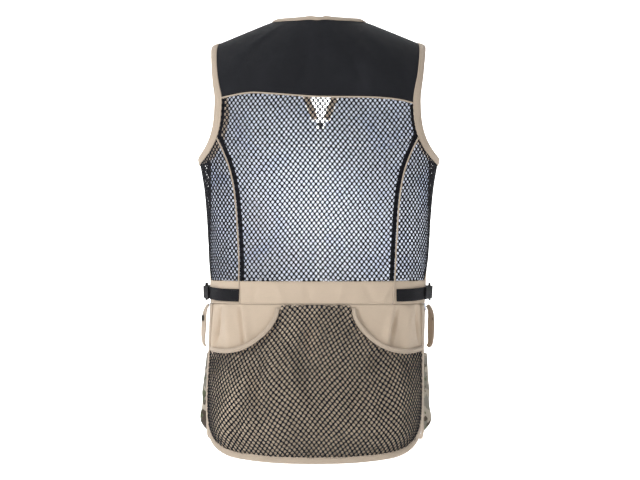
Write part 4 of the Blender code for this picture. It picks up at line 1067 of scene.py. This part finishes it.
def wear_and_shade_group():
    """Uneven colour of used cloth: wide soft fading, smaller mottling, a yarn-fine grain and a dusty tint in the wide
    patches. Behind the pouch's net the wide patches are painted fold shade, and on the pale inside the wide patches
    and the bluish tint are painted shade.
    """

    def build(g, given, made):
        wide = g.noise(given["Place"], 14.0, 3.0, 0.55, 0.6)
        small = g.noise(given["Place"], 90.0, 3.0, 0.6)
        grain = g.noise(given["Place"], 1400.0, 2.0, 0.7)
        value = 1.0
        for noise, share in ((wide, "Wide"), (small, "Small"), (grain, "Grain")):
            value = g.maths("ADD", value, g.maths("MULTIPLY", g.maths("SUBTRACT", noise, 0.5), given[share]))
        shade = g.add("ShaderNodeCombineXYZ", {"X": value, "Y": value, "Z": value}).outputs[0]
        tinted = g.mix(1.0, given["Colour"], shade, "MULTIPLY")
        # A dusty tint on most cloths; on the pale inside it is painted bluish shade.
        dust_and_shade_mixed = g.mix(g.maths("MULTIPLY", g.ramp(wide, 0.45, 0.75), given["Dust and shade"]), tinted, given["Dust and shade colour"])
        g.put(made["Colour"], dust_and_shade_mixed)
        g.put(made["Mottle"], small)

    inputs = [
        ("Place", VECTOR, None), ("Colour", COLOUR, None), ("Wide", FLOAT, 0.3), ("Small", FLOAT, 0.15),
        ("Grain", FLOAT, 0.25), ("Dust and shade", FLOAT, 0.0), ("Dust and shade colour", COLOUR, None),
    ]
    return shader_group("worn_and_shaded_cloth", inputs, [("Colour", COLOUR), ("Mottle", FLOAT)], build)


def grouped(g, tree, inputs):
    return g.add("ShaderNodeGroup", inputs, node_tree=tree).outputs


def new_look(name, roughness=0.8, sheen=0.0, specular=0.15, metallic=0.0):
    """A material with its shader, and the graph to wire it up in."""
    look = bpy.data.materials.new(name)
    look.use_nodes = True
    graph = Graph(look.node_tree)
    shader = look.node_tree.nodes["Principled BSDF"]
    shader.inputs["Roughness"].default_value = roughness
    shader.inputs["Sheen Weight"].default_value = sheen
    shader.inputs["Sheen Roughness"].default_value = 0.5
    shader.inputs["Specular IOR Level"].default_value = specular
    shader.inputs["Metallic"].default_value = metallic
    return look, graph, shader


def cloth_map(g):
    return g.add("ShaderNodeUVMap", uv_map="cloth").outputs[0]


def object_place(g):
    return g.add("ShaderNodeTexCoord").outputs["Object"]


def bumped(g, shader, height, distance):
    bump = g.add("ShaderNodeBump", {"Height": height, "Distance": distance, "Strength": 1.0})
    g.put(shader.inputs["Normal"], bump.outputs[0])


def worn_and_shaded_yarns(g, shader, height, place, colour, wear, dark, span, depth):
    """Mottles a cloth's colour by its use, with painted shade patches on some cloths, and lowers it between its
    yarns, where painted shade darkens it.
    """
    wide, small, grain, dust_and_shade, dust_and_shade_colour = wear
    worn_and_shaded = grouped(
        g, wear_and_shade_group(),
        {"Place": place, "Colour": colour, "Wide": wide, "Small": small, "Grain": grain,
         "Dust and shade": dust_and_shade, "Dust and shade colour": dust_and_shade_colour},
    )
    # Painted shade: the colour is darkened in the hollows between the yarns.
    hollow_shaded = g.mix(1.0, worn_and_shaded["Colour"], dark, "MULTIPLY")
    g.put(shader.inputs["Base Color"], g.mix(g.ramp(height, *span), hollow_shaded, worn_and_shaded["Colour"]))
    bumped(g, shader, height, depth)
    return worn_and_shaded


def woven_look(name, colour, thread, slub, wear, roughness, sheen):
    """A woven cloth: the weave shades its yarns (painted shade in the hollows, and a bump), and mottling from use
    lies over it, which on some cloths is painted shade.
    """
    look, g, shader = new_look(name, roughness, sheen)
    height = grouped(g, weave_group(), {"Vector": cloth_map(g), "Thread": thread, "Slub": slub})["Height"]
    worn_and_shaded = worn_and_shaded_yarns(
        g, shader, height, object_place(g), tuple(colour), wear, (0.80, 0.80, 0.80), (0.1, 0.9), WEAVE_DEPTH
    )
    g.put(shader.inputs["Roughness"], g.ramp(worn_and_shaded["Mottle"], 0.2, 0.8, roughness - 0.08, min(1.0, roughness + 0.06)))
    return look


def blotched_look():
    """Cloth printed with overlapping soft-edged blotches in four dull colours."""
    look, g, shader = new_look("blotched_cloth", 0.85, 0.15)
    tint = colours()
    place = object_place(g)
    warp = g.add("ShaderNodeTexNoise", {"Vector": place, "Scale": 26.0, "Detail": 3.0}).outputs["Color"]
    moved = g.moved(place, g.scaled(warp, (0.045, 0.045, 0.045)))
    colour = tuple(tint.sand)
    for i, (patch, scale, low, high) in enumerate(
        ((tint.grey, 26.0, 0.46, 0.49), (tint.green, 34.0, 0.575, 0.595), (tint.brown, 38.0, 0.565, 0.58))
    ):
        shifted = g.moved(g.scaled(moved, (1.0, 1.0, 1.7)), (3.1 * i, 1.7 * i, 5.3 * i))
        mask = g.ramp(g.noise(shifted, scale, 2.5, 0.55), low, high)
        colour = g.mix(mask, colour, tuple(patch))
    height = grouped(g, weave_group(), {"Vector": cloth_map(g), "Thread": 0.00055, "Slub": 0.4})["Height"]
    wear = (0.2, 0.2, 0.35, 0.10, (0.45, 0.40, 0.33))
    worn_and_shaded_yarns(g, shader, height, place, colour, wear, (0.78, 0.78, 0.78), (0.1, 0.9), WEAVE_DEPTH)
    return look


def tape_look(name, colour, rib, roughness, sheen, wear):
    """A ribbed tape or webbing."""
    look, g, shader = new_look(name, roughness, sheen)
    height = grouped(g, ribbed_group(), {"Vector": cloth_map(g), "Rib": rib})["Height"]
    colour = tuple(colour)
    wear = (*wear, 0.0, colour)
    worn_and_shaded_yarns(g, shader, height, object_place(g), colour, wear, (0.76, 0.75, 0.74), (0.15, 0.95), RIB_DEPTH)
    return look


def hard_look(name, colour, roughness, metallic, grain, scratch):
    """Moulded plastic or metal: a fine grain, and rubbed places that are smoother."""
    look, g, shader = new_look(name, roughness, 0.0, 0.5, metallic)
    place = object_place(g)
    fine = g.noise(place, grain, 3.0, 0.6)
    rubbed = g.noise(g.scaled(place, (1.0, 1.0, 3.0)), 240.0, 3.0, 0.6)
    lighter = tuple(min(1.0, c * 1.7 + 0.01) for c in colour)
    g.put(shader.inputs["Base Color"], g.mix(g.ramp(rubbed, 0.5, 0.75, 0.0, scratch), tuple(colour), lighter))
    g.put(shader.inputs["Roughness"], g.ramp(rubbed, 0.35, 0.7, roughness + 0.1, roughness - 0.08))
    bumped(g, shader, fine, 0.00006)
    return look


LOOKS = {}


def make_looks():
    tint = colours()
    # Painted light: the cloth seen through the pouch's net is lighter than the panel, to make up for the light that
    # the net holds off it.
    painted_light_colour = tuple(min(0.9, c * PAINTED_LIGHT_SHARE) for c in tint.panel)
    black, beige, painted_light_name = "black_cloth", "beige_cloth", "beige_cloth_unfaded"
    clean = (0.0, (0.0, 0.0, 0.0))
    for key, *row in (
        ("yoke", black, tint.yoke, 0.00050, 0.4, (0.5, 0.25, 0.5, 0.10, (0.03, 0.03, 0.034)), 0.80, 0.03),
        ("panel", beige, tint.panel, 0.00055, 0.5, (0.10, 0.07, 0.16, *clean), 0.86, 0.2),
        # Behind the pouch's net the wide patches are strong: painted fold shade.
        ("fresh_panel", painted_light_name, painted_light_colour, 0.00055, 0.5, (0.75, 0.12, 0.16, *clean), 0.86, 0.2),
        # On the pale inside, the wide patches and the bluish tint are painted shade.
        ("inside", "pale_inside", tint.lining, 0.00060, 0.4, (0.40, 0.10, 0.10, 0.45, (0.36, 0.45, 0.72)), 0.88, 0.0),
        ("net", "net_yarn", tint.net, 0.00042, 0.6, (0.3, 0.3, 0.5, 0.05, (0.02, 0.02, 0.03)), 0.70, 0.02),
    ):
        LOOKS[key] = woven_look(*row)
    for key, *row in (
        ("band", "net_seam_tape", tint.net, 0.00060, 0.8, 0.02, (0.3, 0.2, 0.4)),
        ("binding", "binding_tape", tint.tape, 0.00070, 0.82, 0.2, (0.08, 0.06, 0.14)),
        ("webbing", "black_webbing", tint.webbing, 0.00120, 0.65, 0.02, (0.2, 0.2, 0.4)),
        ("zip_tape", "zip_tape", tint.webbing, 0.00060, 0.7, 0.1, (0.2, 0.2, 0.4)),
        ("pale_thread", "pale_thread", (0.66, 0.56, 0.45), 0.00030, 0.7, 0.2, (0.1, 0.1, 0.2)),
        ("dark_thread", "dark_thread", (0.020, 0.020, 0.024), 0.00030, 0.6, 0.2, (0.1, 0.1, 0.2)),
    ):
        LOOKS[key] = tape_look(*row)
    for key, *row in (
        ("plastic", "black_plastic", (0.018, 0.018, 0.021), 0.42, 0.0, 1800.0, 0.5),
        ("teeth", "zip_teeth", (0.020, 0.020, 0.023), 0.35, 0.0, 1500.0, 0.4),
        ("metal", "dark_metal", (0.16, 0.16, 0.17), 0.34, 1.0, 1400.0, 0.6),
    ):
        LOOKS[key] = hard_look(*row)
    LOOKS["blotched"] = blotched_look()


# The pieces, one operator each.


def pocket_ground(piece):
    """Gives the cloth inside the game pocket a lighter colour, painted light that makes up for the light the net
    holds off it, up to the net's outline.
    """
    net = outer_face("pouch_net")
    border = BODY_FLAT.unroll(np.array([v.co for v in edge_loops(net)[0]]))
    net.free()
    piece.data.materials.append(LOOKS["fresh_panel"])
    centres = np.array([polygon.center for polygon in piece.data.polygons])
    inner = inside_outline(BODY_FLAT.unroll(centres), border)
    piece.data.polygons.foreach_set("material_index", inner.astype(np.int32))
    piece.data.update()


class VEST_OT_yokes(bpy.types.Operator):
    """Make the black shoulder cloths of the back and the fronts"""

    bl_idname = "vest.yokes"
    bl_label = "Yokes"

    def execute(self, context):
        panel("back_yoke", LOOKS["yoke"], "black_cloth", CREASES["back_yoke"], over=True)
        for side, sign in SIDES:
            table = mirrored(CREASES["front_yoke"], sign)
            panel(f"front_yoke_{side}", LOOKS["yoke"], "black_cloth", table, over=True, inside=LOOKS["inside"])
        return {"FINISHED"}


class VEST_OT_panels(bpy.types.Operator):
    """Make the beige waistbands, tail and fronts"""

    bl_idname = "vest.panels"
    bl_label = "Panels"

    def execute(self, context):
        for node in ("waistband_center", "waistband_side_l", "waistband_side_r", "back_base"):
            piece = panel(node, LOOKS["panel"], "beige_cloth", CREASES[node])
        pocket_ground(piece)
        for side, sign in SIDES:
            table = mirrored(CREASES["front"], sign)
            panel(f"front_body_{side}", LOOKS["panel"], "beige_cloth", table, inside=LOOKS["inside"])
            table = mirrored(CREASES["pocket"], sign)
            panel(f"pocket_{side}", LOOKS["blotched"], "blotched_cloth", table, wall=POCKET_WALL, levels=2)
        return {"FINISHED"}


class VEST_OT_nets(bpy.types.Operator):
    """Knit the four open nets, hole by hole"""

    bl_idname = "vest.nets"
    bl_label = "Nets"

    def execute(self, context):
        knit("back_net_center", table=CREASES["back_net"])
        knit("pouch_net", table=CREASES["pouch_net"], drift=0.0060, wide=1.03)
        for side, _ in SIDES:
            knit(f"back_net_side_{side}", wide=0.94)
        return {"FINISHED"}


class VEST_OT_bindings(bpy.types.Operator):
    """Fold the beige tapes over every edge"""

    bl_idname = "vest.bindings"
    bl_label = "Bindings"

    def execute(self, context):
        look = LOOKS["binding"]
        middle = np.array((0.0, 0.0, -0.05))
        strip("neck_binding", "neck_binding_tape", folded_tape, look, middle, True, proud=0.0026)
        inner = box_of("back_base")[2] + (0, 0, 0.1)
        strip("tail_binding", "tail_binding_tape", folded_tape, look, inner, lap=0.0026)
        for side, sign in SIDES:
            hole = np.array((sign * 0.25, 0.0, -0.11))
            node = f"armhole_binding_{side}"
            strip(node, node + "_tape", folded_tape, look, hole, True, lap=0.0024, proud=0.0012)
            node = f"front_binding_{side}"
            strip(node, node + "_tape", folded_tape, look, box_of(f"front_body_{side}")[2])
            node = f"mouth_binding_{side}"
            strip(node, node + "_tape", folded_tape, look, box_of("pouch_net")[2])
        return {"FINISHED"}


class VEST_OT_pipings(bpy.types.Operator):
    """Run the piping cords along the yoke and princess seams"""

    bl_idname = "vest.pipings"
    bl_label = "Pipings"

    def execute(self, context):
        for node, axis in (("yoke_piping", 0), ("princess_piping_l", 2), ("princess_piping_r", 2)):
            piece = tube(node + "_cord", middle_line(node, axis), PIPING_RADIUS)
            dress(piece, LOOKS["binding"], nodes=[node])
        return {"FINISHED"}


class VEST_OT_webbing(bpy.types.Operator):
    """Lay the side straps, their anchors and the hanging loops"""

    bl_idname = "vest.webbing"
    bl_label = "Webbing"

    def execute(self, context):
        for side, sign in SIDES:
            profile = flat_tape(WEBBING_THICK)
            for node, reach in ((f"strap_{side}", STRAP_REACH), (f"strap_anchor_{side}", 0.0)):
                strip(node, node + "_webbing", profile, LOOKS["webbing"], step=0.002, reach=reach)
            node, twist = f"hang_loop_{side}", LOOP_TWIST * sign
            strip(node, node + "_tape", profile, LOOKS["binding"], step=0.0015, twist=twist)
        return {"FINISHED"}


class VEST_OT_seams(bpy.types.Operator):
    """Double the nets' edges behind their seams"""

    bl_idname = "vest.seams"
    bl_label = "Seam allowances"

    def execute(self, context):
        black, beige = (LOOKS["band"], "black_net"), (LOOKS["panel"], "beige_cloth")
        centre = FACES["back_net_center"]
        node = "waistband_center"
        band_behind("waist_allowance", FACES[node].side(2, -1), node, WAIST_BAND, *beige)
        for side, sign in SIDES:
            node = "back_net_center"
            band_behind(f"shoulder_allowance_{side}", centre.side(0, sign), node, SHOULDER_BAND, *black)
            band_behind(f"princess_allowance_{side}", centre.tallest(sign), node, PRINCESS_BAND, *black)
            node = f"back_net_side_{side}"
            seam = FACES[node].side(1, -1)
            seam = seam[seam[:, 2] > NET_FOOT]
            band_behind(f"side_allowance_{side}", seam, node, SIDE_BAND, *black)
            band_behind(f"armhole_allowance_{side}", FACES[node].side(2, 1), node, ARMHOLE_BAND, *black)
            node = f"waistband_side_{side}"
            band_behind(f"waist_allowance_{side}", FACES[node].side(2, -1), node, WAIST_BAND, *beige)
        return {"FINISHED"}


class VEST_OT_zip(bpy.types.Operator):
    """Make the zip's tapes, its teeth, the slider and the pull"""

    bl_idname = "vest.zip"
    bl_label = "Zip"

    def execute(self, context):
        for side, _ in SIDES:
            node, profile = f"zip_tape_{side}", flat_tape(ZIP_TAPE_THICK, ZIP_TAPE_EDGE)
            pale_back(strip(node, node + "_cloth", profile, LOOKS["zip_tape"]))
        rows, _ = two_edges("zip_chain")
        rows, way = smoothed(rows, 0.004, False)
        lowered = rows.copy()
        for start in (0, 3):
            lowered[:, start : start + 3] -= rows[:, 6:9] * CHAIN_DROP
        tape = loft("zip_chain_tape", lowered, way, flat_tape(CHAIN_TAPE_THICK, ZIP_TAPE_EDGE), False)
        pale_back(dress(tape, LOOKS["zip_tape"]))
        teeth_along(rows)
        make_slider()
        make_pull()
        return {"FINISHED"}


def pale_back(piece):
    """Gives the side of a tape that faces into the vest its pale finish."""
    piece.data.materials.append(LOOKS["inside"])
    for polygon in piece.data.polygons:
        if polygon.normal.dot(outward(polygon.center).normalized()) < -0.3:
            polygon.material_index = 1


def teeth_along(rows):
    """Zip teeth: one is modelled, and its copies alternate from side to side."""
    tooth = new_block(TOOTH)
    apply_modifier(tooth, "BEVEL", width=0.00035, segments=2, limit_method="ANGLE")
    shape = coordinates(tooth.data)
    faces = [tuple(polygon.vertices) for polygon in tooth.data.polygons]
    bpy.data.objects.remove(tooth)
    middle = (rows[:, :3] + rows[:, 3:6]) / 2
    way = distances(middle)
    vertices, found = [], []
    for i, at in enumerate(np.arange(TOOTH_PITCH, way[-1] - TOOTH_PITCH / 2, TOOTH_PITCH / 2)):
        row = np.array([np.interp(at, way, column) for column in rows.T])
        ahead = np.array([np.interp(at + 0.001, way, column) for column in middle.T])
        centre = (row[:3] + row[3:6]) / 2
        along, out = unit(ahead - centre), unit(row[6:9])
        aside = np.cross(along, out)
        centre = centre + aside * (0.0009 if i % 2 else -0.0009) - out * 0.0006
        first = len(vertices)
        vertices.extend(centre + shape @ np.array([aside, out, along]))
        found.extend(tuple(first + v for v in face) for face in faces)
    piece = make_piece("zip_chain_teeth", vertices, found)
    return dress(piece, LOOKS["teeth"], nodes=["zip_chain"])


def new_block(size, place=(0, 0, 0)):
    """A block at its size and place, ready to be shaped."""
    bpy.ops.object.select_all(action="DESELECT")
    bpy.ops.mesh.primitive_cube_add(size=1.0, location=place)
    block = bpy.context.active_object
    block.scale = size
    bpy.ops.object.transform_apply(location=True, rotation=False, scale=True)
    return block


def new_rod(radius, depth, place=(0, 0, 0), turn=(0, 0, 0), sides=24):
    """A rod at its size and place, ready to be shaped."""
    bpy.ops.object.select_all(action="DESELECT")
    bpy.ops.mesh.primitive_cylinder_add(vertices=sides, radius=radius, depth=depth, location=place, rotation=turn)
    rod = bpy.context.active_object
    bpy.ops.object.transform_apply(location=True, rotation=True, scale=True)
    return rod


def cut_out(piece, tool):
    """Cuts one shape out of another."""
    apply_modifier(piece, "BOOLEAN", object=tool, operation="DIFFERENCE", solver="EXACT")
    bpy.data.objects.remove(tool)


def joined(*pieces):
    """Several shapes as one piece."""
    bpy.ops.object.select_all(action="DESELECT")
    for piece in pieces:
        piece.select_set(True)
    bpy.context.view_layer.objects.active = pieces[0]
    bpy.ops.object.join()
    pieces[0].select_set(False)
    return pieces[0]


def finish_part(piece, name, look, body=BODY, nodes=()):
    """Names a hard part, smooths its rounded edges and dresses it."""
    piece.name = piece.data.name = name
    bpy.ops.object.select_all(action="DESELECT")
    bpy.context.view_layer.objects.active = piece
    piece.select_set(True)
    bpy.ops.object.shade_smooth_by_angle(angle=math.radians(40))
    piece.select_set(False)
    return dress(piece, look, body, nodes)


def make_slider():
    """The slider: a waisted body that narrows downwards, with a bridge for the pull."""
    low, high, centre = box_of("zip_slider")
    body = new_block((0.0084, 0.0044, 0.0110), (0.0, high[1] - 0.0022, centre[2]))
    for vertex in body.data.vertices:
        if vertex.co.z < centre[2]:
            vertex.co.x *= 0.72
    apply_modifier(body, "BEVEL", width=0.0011, segments=3, limit_method="ANGLE")
    bridge = new_block((0.0018, 0.0036, 0.0066), (0.0, low[1] + 0.0018, centre[2] + 0.0018))
    apply_modifier(bridge, "BEVEL", width=0.0008, segments=3, limit_method="ANGLE")
    cut_out(bridge, new_block((0.02, 0.0026, 0.0042), (0.0, low[1] + 0.0025, centre[2] + 0.0018)))
    return finish_part(joined(body, bridge), "zip_slider_body", LOOKS["metal"], nodes=["zip_slider"])


def make_pull():
    """The pull: a rounded plate with an eye for the bridge and grip ribs near its end."""
    low, high, centre = box_of("pull_tab")
    size = high - low
    plate = new_block(size, centre)
    for vertex in plate.data.vertices:
        if vertex.co.z > centre[2]:
            vertex.co.x *= 0.86
    apply_modifier(plate, "BEVEL", width=0.0004, segments=2, limit_method="ANGLE")
    cut_out(plate, new_block((0.0028, 0.02, 0.0064), (0.0, centre[1], high[2] - size[1] - 0.0032)))
    ribs = []
    for i in range(5):
        z = low[2] + 0.0030 + i * 0.0018
        ribs.append(new_rod(0.00035, 0.0036, (0.0, low[1] + 0.0001, z), (0, math.pi / 2, 0), 12))
    return finish_part(joined(plate, *ribs), "pull_tab_plate", LOOKS["metal"], "pull", ["pull_tab"])


class VEST_OT_buckles(bpy.types.Operator):
    """Make the strap rings and the snaps"""

    bl_idname = "vest.buckles"
    bl_label = "Rings and snaps"

    def execute(self, context):
        for side, sign in SIDES:
            low, high, centre = box_of(f"buckle_{side}")
            size = high - low
            ring = new_block(size, centre)
            cut_out(ring, new_block((0.03, size[1] - 0.0074, 0.0216), centre))
            apply_modifier(ring, "BEVEL", width=0.0011, segments=3, limit_method="ANGLE")
            finish_part(ring, f"buckle_{side}_ring", LOOKS["plastic"], nodes=[f"buckle_{side}"])
            _, _, centre = box_of(f"snap_{side}")
            turn = (0, sign * math.pi / 2, 0)
            base = new_rod(0.0055, 0.0011, centre - (sign * 0.00075, 0, 0), turn, 32)
            apply_modifier(base, "BEVEL", width=0.0004, segments=2, limit_method="ANGLE")
            cap = new_rod(0.0049, 0.0016, centre + (sign * 0.0005, 0, 0), turn, 32)
            apply_modifier(cap, "BEVEL", width=0.0007, segments=3, limit_method="ANGLE")
            cut_out(cap, new_rod(0.0026, 0.0010, centre + (sign * 0.0013, 0, 0), turn, 32))
            cap = joined(base, cap)
            finish_part(cap, f"snap_{side}_cap", LOOKS["plastic"], nodes=[f"snap_{side}"])
        return {"FINISHED"}


class VEST_OT_stitching(bpy.types.Operator):
    """Sew every seam with its rows of thread"""

    bl_idname = "vest.stitching"
    bl_label = "Stitching"

    def execute(self, context):
        pale, dark = [], []
        for node in RAILS:
            if "binding" in node:
                pale.append(seam_rows(node, TAPE_INSET, TAPE_LIFT))
        self.edge(pale, "waistband_center", (2, 1), (2, -1))
        self.edge(dark, "back_yoke", (2, -1))
        for side, sign in SIDES:
            self.edge(pale, f"waistband_side_{side}", (2, 1), (2, -1))
            self.edge(pale, f"front_body_{side}", (2, 1), (0, -sign))
            self.edge(dark, f"front_yoke_{side}", (2, -1))
            self.edge(pale, f"pocket_{side}", (1, 1), (1, -1), (2, -1))
            for inset in POCKET_ROWS:
                self.edge(pale, f"pocket_{side}", (2, 1), inset=inset)
            for node in (f"strap_{side}", f"strap_anchor_{side}"):
                self.box(dark, RAILS[node][0][-BOX_ROWS:])
        sewn("pale_stitches", pale, LOOKS["pale_thread"])
        sewn("dark_stitches", dark, LOOKS["dark_thread"])
        return {"FINISHED"}

    def edge(self, rows, node, *sides, inset=EDGE_INSET):
        face = FACES[node]
        for axis, sign in sides:
            line, _ = smoothed(face.side(axis, sign), 0.003, False)
            rows.append(face.on_face(face.inside(line, inset), THREAD_LIFT))

    def box(self, rows, part):
        """A square of stitches at the end of a strap."""
        a, b, n = part[:, :3], part[:, 3:6], unit(part[:, 6:9])
        for share in BOX_SPAN:
            rows.append((b + (a - b) * share + n * THREAD_LIFT, n))
        for i in (1, BOX_ROWS - 1):
            span = np.linspace(*BOX_SPAN, BOX_ROWS)[:, None]
            line = b[i] + (a[i] - b[i]) * span + n[i] * THREAD_LIFT
            rows.append((line, np.repeat(n[i : i + 1], BOX_ROWS, axis=0)))


class VEST_OT_stage(bpy.types.Operator):
    """Set the pale floor and backdrop, the soft lights and the camera"""

    bl_idname = "vest.stage"
    bl_label = "Stage"

    def execute(self, context):
        scene = context.scene
        path = [(STAGE_HALF, FLOOR)]
        for i in range(13):
            turn = math.radians(90 * i / 12)
            path.append((TURN_START - TURN_RADIUS * math.sin(turn), FLOOR + TURN_RADIUS * (1 - math.cos(turn))))
        path.append((TURN_START - TURN_RADIUS, STAGE_TOP))
        vertices = [(x, y, z) for y, z in path for x in (-STAGE_HALF, STAGE_HALF)]
        faces = [(2 * i, 2 * i + 1, 2 * i + 3, 2 * i + 2) for i in range(len(path) - 1)]
        sweep = make_piece("backdrop", vertices, faces)
        look, g, shader = new_look("studio_paper", 0.9, 0.0, 0.2)
        place = object_place(g)
        tone = g.ramp(g.noise(place, 2.0, 2.0), 0.2, 0.8)
        g.put(shader.inputs["Base Color"], g.mix(tone, (0.90, 0.90, 0.90), (0.93, 0.93, 0.93)))
        bumped(g, shader, g.noise(place, 500.0, 2.0), 0.0001)
        shader.inputs["Emission Color"].default_value = (1.0, 1.0, 1.0, 1.0)
        shader.inputs["Emission Strength"].default_value = 0.42
        sweep.data.materials.append(look)
        world = bpy.data.worlds.new("studio")
        scene.world = world
        world.use_nodes = True
        graph = Graph(world.node_tree)
        back = world.node_tree.nodes["Background"]
        back.inputs["Color"].default_value = (1.0, 1.0, 1.0, 1.0)
        seen = graph.add("ShaderNodeLightPath").outputs["Is Camera Ray"]
        graph.put(back.inputs["Strength"], graph.ramp(seen, 0.0, 1.0, 0.30, 1.0))
        for name, place, target, size, power in LIGHTS:
            light = bpy.data.lights.new(name, "AREA")
            light.shape = "DISK"
            light.size = size
            light.energy = power
            lamp = bpy.data.objects.new(name, light)
            lamp.location = place
            lamp.rotation_euler = (Vector(target) - Vector(place)).to_track_quat("-Z", "Y").to_euler()
            scene.collection.objects.link(lamp)
        lens = bpy.data.cameras.new("camera")
        lens.sensor_width = 36.0
        lens.lens = CAMERA_LENS
        lens.clip_start, lens.clip_end = 0.05, 40.0
        camera = bpy.data.objects.new("camera", lens)
        across, back = math.sin(CAMERA_TURN), -math.cos(CAMERA_TURN)
        camera.location = (CAMERA_FAR * across, CAMERA_FAR * back, CAMERA_HEIGHT)
        aim = Vector((CAMERA_AIM, 0.0, CAMERA_HEIGHT)) - camera.location
        camera.rotation_euler = aim.to_track_quat("-Z", "Y").to_euler()
        scene.collection.objects.link(camera)
        scene.camera = camera
        scene.view_settings.view_transform = "Standard"
        return {"FINISHED"}


class VEST_PT_tools(bpy.types.Panel):
    """Lists the steps that dress the vest"""

    bl_idname = "VEST_PT_tools"
    bl_label = "Shooting Vest"
    bl_space_type = "VIEW_3D"
    bl_region_type = "UI"
    bl_category = "Vest"

    def draw(self, context):
        for group in (context.scene.vest_sizes, context.scene.vest_colours):
            for name in group.__annotations__:
                self.layout.prop(group, name)
        for step in STEPS:
            self.layout.operator(step.bl_idname)


STEPS = (
    VEST_OT_stage, VEST_OT_yokes, VEST_OT_panels, VEST_OT_nets, VEST_OT_bindings, VEST_OT_pipings,
    VEST_OT_seams, VEST_OT_webbing, VEST_OT_zip, VEST_OT_buckles, VEST_OT_stitching,
)
CLASSES = (VestSizes, VestColours, *STEPS, VEST_PT_tools)


def register():
    for item in CLASSES:
        bpy.utils.register_class(item)
    bpy.types.Scene.vest_sizes = bpy.props.PointerProperty(type=VestSizes)
    bpy.types.Scene.vest_colours = bpy.props.PointerProperty(type=VestColours)


def unregister():
    del bpy.types.Scene.vest_colours
    del bpy.types.Scene.vest_sizes
    for item in reversed(CLASSES):
        bpy.utils.unregister_class(item)


def main():
    register()
    make_looks()
    for step in STEPS:
        family, name = step.bl_idname.split(".")
        getattr(getattr(bpy.ops, family), name)()


if __name__ == "__main__":
    main()
